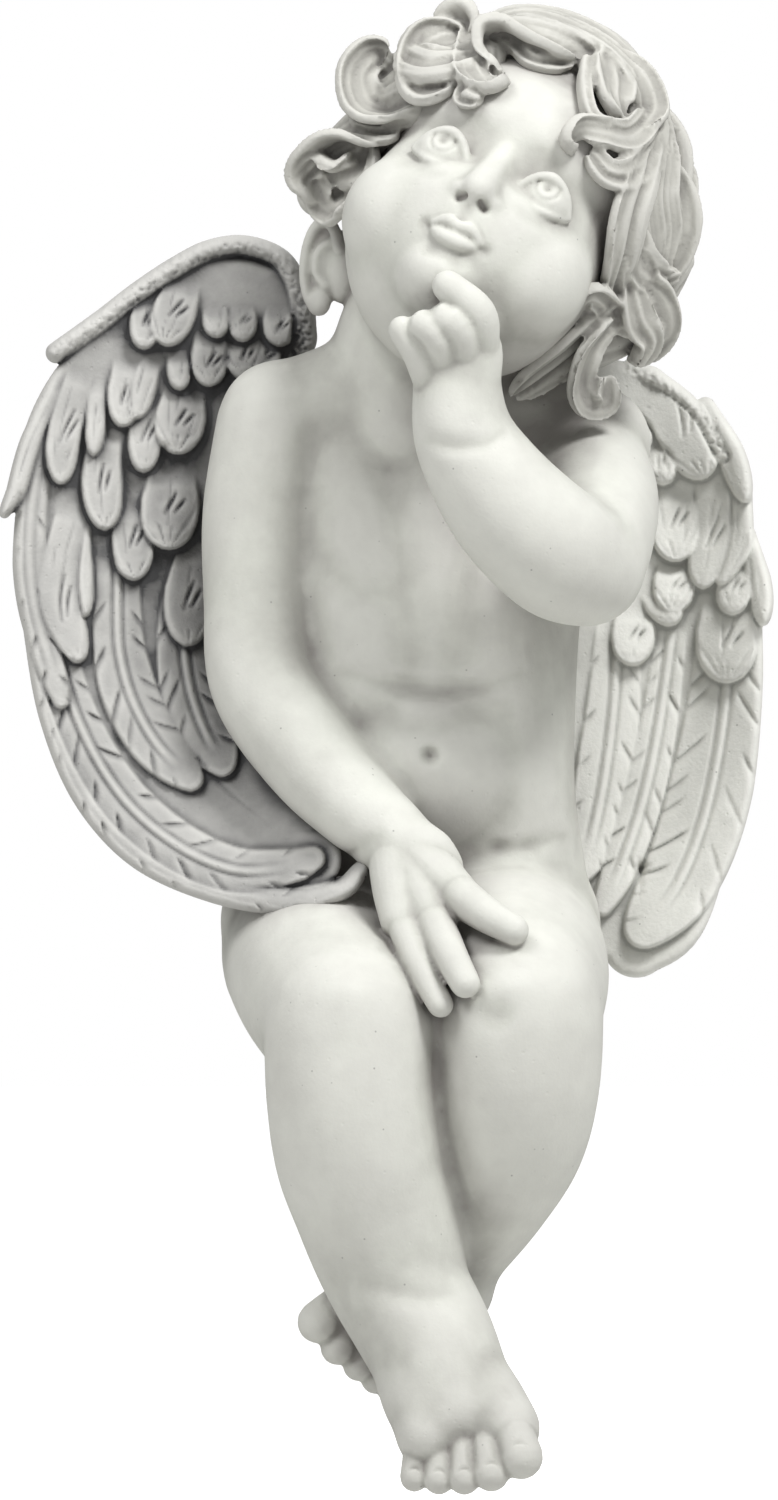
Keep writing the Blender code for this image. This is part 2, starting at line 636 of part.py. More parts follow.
def wing(clay, feathers, web, roll, depths, step=WING_GRID):
    """A cupped web with its feathers laid on like shingles and a rolled leading edge."""
    strokes = [("web", smooth_path(path)) for path in web]
    for half, *points in feathers:
        path = smooth_path(points, 2.0)
        share = np.linspace(0, 1, len(path))
        tip = path[-1] - path[-2]
        path = path - np.outer(share**2, tip / np.linalg.norm(tip)) * half * 0.5
        taper = 0.75 + 0.25 * np.minimum(share * 2, 1)
        taper *= np.sqrt(1 - 0.75 * np.clip(share * 2 - 1, 0, 1) ** 3)
        strokes.append(("feather", np.column_stack([path, half * taper])))
    bead = ROLL_RADIUS / UNIT
    strokes.append(("roll", np.array([(*p, bead) for p in smooth_path(roll, 1.5)])))
    rows = np.vstack([s[1] for s in strokes])
    low, high = rows[:, :2].min(0) - 14, rows[:, :2].max(0) + 14
    xs, zs = np.arange(low[0], high[0], step), np.arange(low[1], high[1], step)
    x, z = np.meshgrid(xs, zs, indexing="ij")
    cover, rise = np.full(x.shape, FAR), np.zeros(x.shape)
    thick = FEATHER_THICKNESS / UNIT
    for kind, path in strokes:
        best, share, across = np.full(x.shape, FAR), np.zeros(x.shape), np.zeros(x.shape)
        for i, (px, pz, width) in enumerate(path):
            away = np.hypot(x - px, z - pz)
            closer = away - width < best
            best = np.where(closer, away - width, best)
            share = np.where(closer, i / (len(path) - 1), share)
            across = np.where(closer, np.minimum(away / width, 1), across)
        cover = np.minimum(cover, best)
        blend = np.clip(0.5 - best / EDGE, 0, 1)
        if kind == "web":
            height = np.zeros(x.shape)
        elif kind == "feather":
            height = thick * (0.25 + 0.95 * share) * (1 - 0.35 * across**2)
        else:
            height = 1.3 * bead * np.sqrt(1 - 0.85 * across**2)
        rise = rise * (1 - blend) + height * blend
    lie = bending(x, z, depths)
    slope = np.gradient(cover, step)
    steep = np.maximum(np.hypot(*slope), 0.3)
    outside = (cover > 0) & (cover < 2.5 * step)
    x = np.where(outside, x - cover * slope[0] / steep**2, x)
    z = np.where(outside, z - cover * slope[1] / steep**2, z)
    inside = cover < 0
    cells = inside[:-1, :-1] | inside[1:, :-1] | inside[:-1, 1:] | inside[1:, 1:]
    core = WING_THICKNESS / UNIT / 2
    front = np.stack([x, lie - core - rise, z], -1)
    behind = np.stack([x, lie + core + 0.5 * rise, z], -1)
    index = {}

    def vertex(i, j, side):
        if (i, j, side) not in index:
            index[i, j, side] = clay.bm.verts.new((behind if side else front)[i, j])
        return index[i, j, side]

    count_x, count_z = cells.shape
    for i, j in zip(*np.nonzero(cells)):
        clay.bm.faces.new([vertex(i + a, j + b, 0) for a, b in ((0, 0), (1, 0), (1, 1), (0, 1))])
        clay.bm.faces.new([vertex(i + a, j + b, 1) for a, b in ((0, 1), (1, 1), (1, 0), (0, 0))])
        for (a, b), (c, d), (e, f) in (
            ((0, -1), (0, 0), (1, 0)),
            ((1, 0), (1, 0), (1, 1)),
            ((0, 1), (1, 1), (0, 1)),
            ((-1, 0), (0, 1), (0, 0)),
        ):
            if not cells[i + a, j + b]:
                near, far = (i + c, j + d), (i + e, j + f)
                clay.bm.faces.new([vertex(*near, 0), vertex(*near, 1), vertex(*far, 1), vertex(*far, 0)])


def cut_seat(item):
    """Cut the flat underside that rests on a ledge, and the step that meets the ledge's edge."""
    cutters = bpy.data.collections.new("cutters")
    bpy.context.scene.collection.children.link(cutters)
    bpy.ops.mesh.primitive_cube_add(size=1)
    ledge = bpy.context.object
    ledge.name = "ledge"
    wide, deep = HEIGHT, HEIGHT / 6  # clear of the figure on both sides and below
    ledge.scale = (wide, SEAT_FRONT + SEAT_REACH, deep)
    ledge.location = (0, (SEAT_REACH - SEAT_FRONT) / 2, -deep / 2)
    for collection in list(ledge.users_collection):
        collection.objects.unlink(ledge)
    cutters.objects.link(ledge)
    ledge.hide_render = True
    ledge.display_type = "WIRE"
    modifier = item.modifiers.new("Seat", "BOOLEAN")
    modifier.operation = "DIFFERENCE"
    modifier.solver = "EXACT"
    modifier.object = ledge
    bpy.context.view_layer.update()
    cut = bpy.data.meshes.new_from_object(item.evaluated_get(bpy.context.evaluated_depsgraph_get()))
    item.modifiers.clear()
    bm = bmesh.new()
    bm.from_mesh(cut)
    bmesh.ops.remove_doubles(bm, verts=bm.verts, dist=0.00005)
    bmesh.ops.triangulate(bm, faces=bm.faces)
    bm.to_mesh(cut)
    bm.free()
    item.data = cut


def stone():
    material = bpy.data.materials.new("cast stone")
    material.use_nodes = True
    shader = material.node_tree.nodes["Principled BSDF"]
    shader.inputs["Base Color"].default_value = STONE[0]
    shader.inputs["Roughness"].default_value = STONE[1]
    return material


def build():
    clear_scene()
    body = Clay()
    for form in (trunk, legs, feet, resting_arm, raised_arm, head):
        form(body)
    skin = body.melted("body", CLAY, 18)
    skin.transform(Matrix.Scale(1 / UNIT, 4))
    whole = Clay()
    whole.bm.from_mesh(skin)
    for form in (features, hair, resting_fingers, raised_fingers, all_toes):
        form(whole)
    wing(whole, RIGHT_FLIGHT + RIGHT_COVERTS, RIGHT_WEB, RIGHT_ROLL, RIGHT_DEPTHS)
    wing(whole, LEFT_FLIGHT + LEFT_COVERTS, LEFT_WEB, LEFT_ROLL, LEFT_DEPTHS)
    cast = whole.melted("cast", CLAY * FINE, 3)
    cast = without_pockets(evaluated("cast", cast, triangles=TRIANGLES))
    statue = bpy.data.collections.new("angel_statue")
    bpy.context.scene.collection.children.link(statue)
    item = bpy.data.objects.new("angel_statue", cast)
    statue.objects.link(item)
    cut_seat(item)
    item.data.materials.clear()
    item.data.materials.append(stone())


build()
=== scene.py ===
"""The looks of an angel statue: a seated winged child, one casting in stone-finished resin."""

import math

import bmesh
import bpy
import numpy as np
from mathutils import Matrix, Vector
from mathutils.bvhtree import BVHTree
from mathutils.kdtree import KDTree


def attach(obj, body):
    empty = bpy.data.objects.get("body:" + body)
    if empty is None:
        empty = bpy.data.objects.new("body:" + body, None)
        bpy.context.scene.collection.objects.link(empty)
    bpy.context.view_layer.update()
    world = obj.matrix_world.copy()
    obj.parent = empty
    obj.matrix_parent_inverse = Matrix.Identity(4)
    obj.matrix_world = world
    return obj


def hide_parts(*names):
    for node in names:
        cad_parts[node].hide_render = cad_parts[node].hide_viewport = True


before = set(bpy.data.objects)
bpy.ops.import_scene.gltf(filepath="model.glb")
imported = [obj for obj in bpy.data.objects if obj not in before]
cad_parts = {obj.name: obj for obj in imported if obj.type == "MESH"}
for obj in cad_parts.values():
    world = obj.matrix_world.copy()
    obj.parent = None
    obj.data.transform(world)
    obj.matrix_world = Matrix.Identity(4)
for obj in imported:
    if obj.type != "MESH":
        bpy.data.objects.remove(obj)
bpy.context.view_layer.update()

# The figure.
# A plump toddler sits with its legs hanging, the right ankle crossed over the left. In the mould
# it was modelled in clay: rounded masses for trunk and limbs, worked together and smoothed.

MM = 0.001  # places and sizes below are millimetres of the casting

FIGURE_GRAIN, FIGURE_PASSES = 1.1, 40  # how finely the rough clay is worked, and how often smoothed
SKIN_GRAIN, NOSE_PASSES, SKIN_PASSES = 0.55, 14, 5  # the same for the finished skin
REACH = 2.6  # how many of its own widths a pressed groove reaches


def deselect():
    bpy.ops.object.select_all(action="DESELECT")


def ball(centre, half, turn=(0, 0, 0), place=Matrix()):
    """A rounded lump of clay with its three half sizes, turned by degrees about X, Y and Z."""
    bpy.ops.mesh.primitive_uv_sphere_add(segments=40, ring_count=24, radius=1)
    lump = bpy.context.object
    x, y, z = (math.radians(a) for a in turn)
    spin = Matrix.Rotation(z, 4, "Z") @ Matrix.Rotation(y, 4, "Y") @ Matrix.Rotation(x, 4, "X")
    lump.data.transform(place @ Matrix.Translation(centre) @ spin @ Matrix.Diagonal((*half, 1)))
    return lump


def through(stations, spacing=2.0):
    """A smooth curve through rows that start x, y, z, sampled about `spacing` apart."""
    rows = np.array(stations, float)
    ends = np.vstack([2 * rows[0] - rows[1], rows, 2 * rows[-1] - rows[-2]])
    samples = []
    for before, start, stop, after in zip(ends, ends[1:], ends[2:], ends[3:]):
        count = max(2, math.ceil(np.linalg.norm(stop[:3] - start[:3]) / spacing))
        for t in np.arange(count) / count:
            samples.append(
                start
                + 0.5 * (stop - before) * t
                + 0.5 * (2 * before - 5 * start + 4 * stop - after) * t**2
                + 0.5 * (3 * start - before - 3 * stop + after) * t**3
            )
    samples.append(rows[-1])
    return np.array(samples)


def limb(stations, place=Matrix(), spacing=2.0):
    """A round roll of clay through rows of x, y, z and radius, with domed ends."""
    path = through(stations, spacing)
    along = np.diff(path[:, :3], axis=0)
    along /= np.linalg.norm(along, axis=1)[:, None]
    domes = []
    for end, out in ((path[0], -along[0]), (path[-1], along[-1])):
        angles = np.radians((25, 48, 68, 84))
        domes.append([[*(end[:3] + out * end[3] * np.sin(a)), end[3] * np.cos(a)] for a in angles])
    rows = np.vstack([domes[0][::-1], path, domes[1]])
    curve = bpy.data.curves.new("roll", "CURVE")
    curve.dimensions = "3D"
    curve.bevel_depth = 1
    curve.bevel_resolution = 8
    curve.use_fill_caps = True
    spline = curve.splines.new("POLY")
    spline.points.add(len(rows) - 1)
    spline.points.foreach_set("co", np.column_stack([rows[:, :3], np.ones(len(rows))]).ravel())
    spline.points.foreach_set("radius", rows[:, 3])
    roll = bpy.data.objects.new("roll", curve)
    bpy.context.collection.objects.link(roll)
    deselect()
    roll.select_set(True)
    bpy.context.view_layer.objects.active = roll
    bpy.ops.object.convert(target="MESH")
    bpy.context.object.data.transform(place)
    return bpy.context.object


def finish_modifiers(piece):
    deselect()
    piece.select_set(True)
    bpy.context.view_layer.objects.active = piece
    for modifier in list(piece.modifiers):
        bpy.ops.object.modifier_apply(modifier=modifier.name)


def melt(name, lumps, grain, passes):
    """Work lumps of clay into one skin and smooth it with so many passes."""
    deselect()
    for lump in lumps:
        lump.select_set(True)
    bpy.context.view_layer.objects.active = lumps[0]
    bpy.ops.object.join()
    piece = bpy.context.object
    piece.name = piece.data.name = name
    remesh = piece.modifiers.new("Remesh", "REMESH")
    remesh.mode = "VOXEL"
    remesh.voxel_size = grain
    if passes:
        smooth = piece.modifiers.new("Smooth", "SMOOTH")
        smooth.factor = 0.5
        smooth.iterations = passes
    finish_modifiers(piece)
    return piece


trunk = [
    ball((2.5, 4, 19), (46.3, 27, 26)),
    limb([(4, 2, 24, 27), (7, 0, 50, 26), (8, 1, 80, 24), (9, 3, 110, 23), (9, 4, 128, 20)]),
    ball((7, -8, 54), (28, 24, 26)),
    ball((-14, 15, 122), (15, 11, 26), (0, 12, 0)),
    ball((31, 16, 120), (15, 11, 26), (0, -12, 0)),
    limb([(-27, 5, 139, 15), (-4, 6, 143, 18), (22, 6, 142, 18), (46, 4, 134, 15)]),
    limb([(4, 6, 138, 23), (6.3, 3, 156, 22.7), (14.3, -1, 172, 22.4)]),
]
for side in (-1, 1):
    flank = [(4 + 17 * side, 3, 24, 25), (7 + 11.5 * side, -2, 50, 24), (8 + 12 * side, 0, 80, 23)]
    flank += [(9 + 15 * side, 2, 108, 21), (9 + 20 * side, 4, 130, 17)]
    trunk.append(limb(flank))

right_leg = [
    limb([(-18, 4, 11, 25.5), (-16.3, -28, 4.3, 23.8), (-12.5, -56, -5, 21)]),
    limb([(-12, -59, -6, 20.6), (-12, -60, -21, 20.3), (-10, -58, -36, 20.3), (-6.6, -56, -48, 19.3),
        (-2.8, -54, -60, 18.2), (1.0, -55, -71, 16.4)]),
]
left_leg = [
    limb([(23, 4, 12, 26), (26, -28, 6, 24.5), (28, -54, -1, 21)]),
    limb([(28.2, -56, -3, 20.6), (28, -54, -19, 20), (26, -49, -33, 18.5), (21, -42, -46, 15.5),
        (15, -36, -57, 13), (10, -32, -66, 11)]),
]
right_arm = [
    limb([(-29, 4, 139, 15.5), (-33, 1, 116, 15), (-33.5, -4, 95, 14), (-32.5, -12, 76, 13.5),
        (-21, -24, 58, 12.5), (-10, -35, 46, 10.8), (0, -43, 37, 9.5), (5, -48, 30, 8)]),
    ball((5, -47, 32), (10.5, 7, 12), (0, -35, 0)),
]
left_arm = [
    limb([(42.5, 4, 131, 16), (47, -16, 120, 15.5), (45.5, -36, 108, 15)]),
    limb([(44, -40, 104, 15.2), (37, -47, 107.5, 16), (25, -51, 119, 15), (15.5, -51, 134, 12.5),
        (13.5, -50, 146, 11)]),
    ball((13.5, -52, 154), (11.8, 8.5, 12), (0, -15, 0)),
]

# The head.
# It leans to its left and looks up. Skull, cheeks, jaw and brow are plain rounded masses on
# childlike proportions, and the features are worked on afterwards while the skin is finished.

HEAD_CENTRE = (22.5, -9, 184.5)
HEAD_SIZE = 1.2
HEAD_ROLL, HEAD_PITCH, HEAD_TURN = 25, 26, -10
head_place = (
    Matrix.Translation(HEAD_CENTRE)
    @ Matrix.Rotation(math.radians(HEAD_ROLL), 4, "Y")
    @ Matrix.Rotation(math.radians(HEAD_TURN), 4, "Z")
    @ Matrix.Rotation(math.radians(-HEAD_PITCH), 4, "X")
    @ Matrix.Scale(HEAD_SIZE, 4)
)
SKULL_CENTRE, SKULL_HALF = (0, 4, 12), (31, 33, 29)
CHEEK_HALF = (13, 13, 13.5)
HEAD_LUMPS = (
    (SKULL_CENTRE, SKULL_HALF),
    ((0, -8, -9), (26, 26, 27)),
    ((0, -23, -27), (9, 9, 7.5)),
    ((0, -13, 11), (25, 19, 18)),
    ((-13.5, -16, -14), CHEEK_HALF),
    ((13.5, -16, -14), CHEEK_HALF),
)
head = [ball(centre, half, place=head_place) for centre, half in HEAD_LUMPS]

# Each foot's ball and heel, and the ends of its toes with their sizes, from the big toe on.
right_toes = ((28.6, -80, -107.6, 5.4), (21.6, -80, -111.6, 4.3), (15.2, -78.5, -112.8, 3.9),
    (9.2, -77, -113, 3.7), (3.4, -75, -112.6, 3.5))
left_toes = ((-19.4, -48, -76.5, 5.2), (-14.8, -47, -82.6, 4.3), (-9.8, -45, -86.8, 4),
    (-5.8, -43, -90.2, 3.7), (-2, -41, -93, 3.5))
feet = [
    limb([(1, -55, -70, 16.4), (6, -58, -79, 16.2), (11, -63, -89, 15), (15, -68, -97, 13)]),
    limb([(9, -60, -84, 12), (19.5, -69, -95, 10.6), (25.8, -75, -101, 8.2)]),
    limb([(5.5, -60, -84, 13), (7.5, -67, -96, 11.8), (7, -72, -103, 8.6)]),
    ball((12, -34, -68), (11, 12, 12)),
    ball((-2, -40, -75), (15, 9, 11), (0, 38, 0)),
]

body = trunk + right_leg + left_leg + right_arm + left_arm + head + feet
rough = melt("figure", body, FIGURE_GRAIN, FIGURE_PASSES)


def vertex_table(piece):
    """The piece's points and outward normals, in millimetres."""
    mesh = piece.data
    points = np.empty(len(mesh.vertices) * 3)
    normals = np.empty(len(mesh.vertices) * 3)
    mesh.vertices.foreach_get("co", points)
    mesh.vertices.foreach_get("normal", normals)
    return points.reshape(-1, 3), normals.reshape(-1, 3)


def store_points(piece, points):
    piece.data.vertices.foreach_set("co", points.ravel())
    piece.data.update()


def press(points, normals, run, width, depth, fade=False):
    """Press a rounded groove along a run of points, its ends faded out where that is asked for."""
    path = through(run, max(width * 0.5, 0.25)) if len(run) > 1 else np.array(run, float)
    low, high = path.min(0) - width * REACH, path.max(0) + width * REACH
    near = np.nonzero(((points > low) & (points < high)).all(1))[0]
    if not len(near):
        return
    best, where = np.full(len(near), 1e9), np.zeros(len(near))
    for step, (start, stop) in enumerate(zip(path, path[1:] if len(path) > 1 else path)):
        along = stop - start
        share = np.clip((points[near] - start) @ along / max(along @ along, 1e-9), 0, 1)
        away = ((points[near] - start - share[:, None] * along) ** 2).sum(1)
        where = np.where(away < best, (step + share) / max(len(path) - 1, 1), where)
        best = np.minimum(best, away)
    fall = np.exp(-best / width**2)
    if fade:
        fall *= np.sin(np.pi * where) ** 0.8
    fall[best > (width * REACH) ** 2] = 0
    points[near] -= normals[near] * (depth * fall)[:, None]


def cut_face(run, width, depth, fade=False):
    """Press a run of places in the head's own frame into the skin in hand."""
    press(skin, outward, [tuple(head_place @ Vector(p)) for p in run], width, depth, fade)


# Hollows for the eyes beside the nose, under the brow.
skin, outward = vertex_table(rough)
for side in (-1, 1):
    cut_face([(7.5 * side, -32, 0.5), (11.5 * side, -31, -1.5), (15 * side, -29, -2.5)], 6.0, 3.0)
    cut_face([(5.8 * side, -33, -2)], 4.5, 2.2)
    cut_face([(8 * side, -33, 7.5), (15 * side, -30, 6)], 5.0, -1.0)
cut_face([(0, -33, -21)], 6.0, -1.2)
store_points(rough, skin)

# A short nose with round wings, full lids over the eyes, and soft lips a little apart.
EYE = (11.2, -25.8, -2.8)
THIN = 0.6  # spacing along the thin rolls of lids and lips
nose = [
    limb([(0, -26.5, 8, 3.4), (0, -28.2, 2, 3.2), (0, -30.2, -3, 3.2), (0, -32.4, -7.5, 3.5),
        (0, -33.6, -10, 3.7)], head_place, 1.0),
    ball((0, -31, -13), (2.6, 4, 2.4), place=head_place),
]
for side in (-1, 1):
    nose.append(ball((3.7 * side, -31.6, -11.2), (2.2, 3.0, 2.2), place=head_place))
rough = melt("figure", [rough] + nose, SKIN_GRAIN, NOSE_PASSES)
features = []
for side in (-1, 1):
    features += [
        ball((EYE[0] * side, *EYE[1:]), (5.9, 5.2, 5.0), place=head_place),
        limb([(5.4 * side, -29.0, -4.4, 0.8), (7.8 * side, -30.2, -0.8, 1.0),
            (11.4 * side, -30.6, 0.8, 1.15), (15.0 * side, -28.8, -0.8, 1.0),
            (17.4 * side, -26.4, -4.0, 0.7)], head_place, THIN),
        limb([(5.8 * side, -29.2, -4.8, 0.7), (9.0 * side, -30.0, -6.4, 0.85),
            (13.0 * side, -29.4, -6.6, 0.85), (17.0 * side, -26.6, -4.4, 0.6)], head_place, THIN),
    ]
features += [
    limb([(-5.8, -30.8, -20.2, 0.7), (-2.4, -32.8, -18.8, 1.4), (0, -33.2, -19.3, 1.3),
        (2.4, -32.8, -18.8, 1.4), (5.8, -30.8, -20.2, 0.7)], head_place, THIN),
    limb([(-4.8, -31, -21, 0.7), (-1.9, -32.2, -22.2, 1.6), (1.9, -32.2, -22.2, 1.6),
        (4.8, -31, -21, 0.7)], head_place, THIN),
]


def ear():
    """A shell turned forward: a plate with a rim rolled round it and a round lobe."""
    turned = Matrix.Translation((-18.5, 2, 177)) @ Matrix.Rotation(math.radians(-38), 4, "Z")
    turned = turned @ Matrix.Rotation(math.radians(6), 4, "Y")
    parts = [ball((0, 1.5, 0), (5.0, 2.2, 10), place=turned), ball((4, 3, 0), (5, 4, 9), place=turned)]
    rim = []
    for step in range(11):
        angle = math.radians(-175 + 240 * step / 10)
        rim.append((5.2 * math.sin(angle), -0.4, 10.4 * math.cos(angle), 1.5))
    parts.append(limb(rim, turned, 0.8))
    parts.append(limb([(2.4, -0.2, 6.0, 1.0), (-1.2, -0.4, 3.0, 1.2), (-1.4, -0.4, -2.0, 1.2),
        (1.5, 0, -5, 1.2)], turned, 0.8))
    parts.append(ball((-0.4, 0, -9.0), (3.4, 2.2, 3.6), place=turned))
    return parts


features += ear()


# Hands and feet.
# The fingers and toes are short and round with small nails. The right hand lies in the lap, the
# left lifts its forefinger to the lip with the other fingers curled, and the right foot is in front.


def right_hand():
    palm = Vector((0, -44, 36))
    fingers = (
        ((0.5, -55, 20), (4.5, -66, 9), (9.6, -71, -0.5), 3.7),
        ((7.5, -56, 20), (11.8, -69, 11.5), (15.4, -74, 4.6), 4.2),
        ((13, -54, 26), (20.5, -66, 20.8), (27, -69, 17.2), 4.3),
    )
    parts = []
    for knuckle, middle, tip, thick in fingers:
        parts.append(limb([(*palm, 8), (*palm.lerp(Vector(knuckle), 0.6), 7), (*knuckle, 5.6)]))
        parts.append(limb([(*knuckle, thick * 1.2), (*middle, thick), (*tip, thick * 0.86)]))
    return parts


def left_hand():
    return [
        limb([(18.5, -54, 157, 5.4), (18.2, -59, 164, 4.7), (11.4, -60.5, 170.4, 3.9)]),
        limb([(15, -54, 153, 5.4), (14, -60, 159.5, 4.4), (10.8, -61, 162.8, 4.1), (10, -57, 161, 3.6)]),
        limb([(11, -54, 152, 5.4), (8.8, -60, 158, 4.2), (5.6, -60, 161.2, 3.9), (5.5, -56, 159, 3.4)]),
        limb([(8, -53, 148, 5), (4.4, -57, 154.5, 4), (0.6, -57.5, 160, 3.5)]),
    ]


def foot(knuckles, ends):
    """A row of short rounded toes, each from its knuckle to its end."""
    parts = []
    for place, (*tip, size) in enumerate(ends):
        knuckle = Vector(knuckles[0]).lerp(Vector(knuckles[1]), place / 4)
        middle = knuckle.lerp(Vector(tip), 0.5) + Vector((0, -1, 0.5))
        parts.append(limb([(*knuckle, size), (*middle, size * 0.94), (*tip, size)]))
    return parts


toes = foot(((25.4, -75, -98.5), (4.6, -70, -101)), right_toes)
toes += foot(((-13, -42, -72), (-2, -40, -86)), left_toes)

figure = melt("figure", [rough] + features + right_hand() + left_hand() + toes, SKIN_GRAIN, SKIN_PASSES)

# The finish of the skin.
# Creases, dimples, nails and the cuts of the face are pressed into the finished skin with a tool:
# each is a run of points with a width and a depth, and a negative depth raises the clay.


def from_front(points, run):
    """Runs given as x, z seen from the front, laid on the nearest skin there."""
    laid = []
    for x, z in run:
        near = np.abs(points[:, 0] - x) + np.abs(points[:, 2] - z) < 1.6
        laid.append((x, points[near, 1].min(), z))
    return laid


skin, outward = vertex_table(figure)

# Face: nostrils, the fold over each lid and under it, the sides of the nose, the mouth line and the
# dimples beside it, the lip's groove and the fold over the chin.
for side in (-1, 1):
    cut_face([(2.0 * side, -34.6, -13.4), (3.0 * side, -33.6, -13.6)], 0.9, 1.8)
    cut_face([(6.6 * side, -30.4, 1.2), (11.4 * side, -31.4, 3.6), (16.6 * side, -28, 1.2)], 0.9, 0.5)
    cut_face([(6.0 * side, -31, -9), (10 * side, -31.6, -10), (14 * side, -30.4, -9.4)], 1.8, 0.35)
    cut_face([(5.6 * side, -31.6, -9.6), (6.6 * side, -31, -12.4)], 1.1, 0.5, fade=True)
    cut_face([(6.8 * side, -30.8, -20.6)], 1.5, 0.8)
cut_face([(-5.4, -30.6, -20.5), (-2.6, -32.2, -20.4), (0, -32.6, -20.8), (2.6, -32.2, -20.4),
    (5.4, -30.6, -20.5)], 0.9, 0.45)
cut_face([(0, -34.4, -15), (0, -33.6, -17.2)], 1.1, 0.45)
cut_face([(-3.5, -31.6, -26), (0, -32.6, -26.2), (3.5, -31.6, -26)], 1.8, 0.7)
IRIS, PUPIL = 2.5, 1.1  # radius of the cut ring, and of the drilled dot in it
for side in (-1, 1):  # each eye looks up
    gaze = Vector((0.10 * side - 0.06, -1, 0.16)).normalized()
    across = gaze.cross(Vector((0, 0, 1))).normalized()
    rise = across.cross(gaze)
    eye = Vector((EYE[0] * side, *EYE[1:]))
    turns = np.linspace(0, 2 * math.pi, 17)
    cut_face([eye + gaze * 4.8 + (across * math.cos(a) + rise * math.sin(a)) * IRIS for a in turns],
        0.4, 0.45)
    cut_face([eye + gaze * 5.1], PUPIL, 0.9)

# Body: soft folds at chest, belly, groin, wrists and ankle, the navel, and the dimpled knees.
FOLDS = (  # width, depth, then x, z points seen from the front
    (2.6, 1.1, ((-16, 80), (-6, 76.6), (8, 74.6), (20, 75.4), (31, 79))),
    (5.0, 1.2, ((-12, 70), (6, 66), (28, 70))),
    (2.2, 1.1, ((14, 37.4), (24, 36.2), (34, 37.6), (42, 40))),
    (5.0, 0.7, ((-20, 124), (-20, 112), (-16, 103), (-8, 98), (4, 97))),
    (2.4, 0.9, ((3.4, 134.8), (10, 132.6), (19, 133), (26, 136.4))),
    (2.2, 0.9, ((-17, 31), (-11, 36), (-3, 41))),
    (3.2, 0.8, ((-11, -67), (-2, -68.5), (7, -69.5), (14, -68))),
)
for width, depth, run in FOLDS:
    press(skin, outward, from_front(skin, run), width, depth, fade=True)
DIMPLES = ((2.0, 2.0, (7.2, 59)), (5.0, -1.0, (26, 4)), (4.0, 0.9, (23, -3)), (6.0, -1.2, (-12, 2)))
for width, depth, place in DIMPLES:  # the navel, the knee-caps and the dimple under one
    press(skin, outward, from_front(skin, [place]), width, depth)

# Nails of the front foot, of the right hand and of the lifted forefinger.
NAIL_STEPS = 8
NAIL_CUT, NAIL_DEPTH = 0.38, 0.5


def nail(tip, toward, up, half):
    """A small nail: a curved cut round a flat plate near the end of a finger or toe."""
    toward, up = Vector(toward).normalized(), Vector(up).normalized()
    side = toward.cross(up).normalized()
    up = side.cross(toward).normalized()
    plate = Vector(tip) + up * half * 1.05
    ring = []
    for step in range(NAIL_STEPS + 1):
        angle = math.radians(-20 + 220 * step / NAIL_STEPS)
        ring.append(plate + side * half * 0.72 * math.cos(angle) - toward * half * 0.8 * math.sin(angle))
    press(skin, outward, [tuple(p) for p in ring], NAIL_CUT, NAIL_DEPTH)


for tip, toward, up, half in (
    ((9.2, -73.6, 0.8), (5, -5, -9.5), (0.3, -1, 0.5), 2.9),
    ((14.8, -77.2, 6.4), (3.6, -5, -7), (0.2, -1, 0.6), 3.2),
    ((25.4, -72.6, 18.6), (6.5, -3, -3.4), (-0.2, -1, 0.5), 3.2),
    ((12.8, -63.6, 170.6), (-6, -1.5, 6), (0.5, -1, 0.6), 2.9),
):
    nail(tip, toward, up, half)
for x, y, z, size in right_toes:
    nail((x, y - 0.3 * size, z - 0.25 * size), (0, -0.4, -1), (0, -1, 0.35), size * 0.82)

store_points(figure, skin)

# The wings.
# Thick cupped wings lie behind the shoulders: short coverts in rows over long flight feathers,
# carved one over the next, with a rolled leading edge that was stippled with a pointed tool.

WING_GRAIN = 0.45  # spacing of the carved surface
WEB = 5.0  # thickness of the wing under its feathers
FEATHER = 2.4  # how far a feather's end stands off the one below
BARB_PITCH = 9.0  # spacing of the slanted cuts along a flight feather
EDGE_ROUND = 2.4  # how far in from its outline the wing is rounded off
MARGIN = 14  # clear ground left round the wing on the carving grid
FAR = 99.0  # further off than any feather
BACK_PASSES = 12  # how often the back of the wing is smoothed

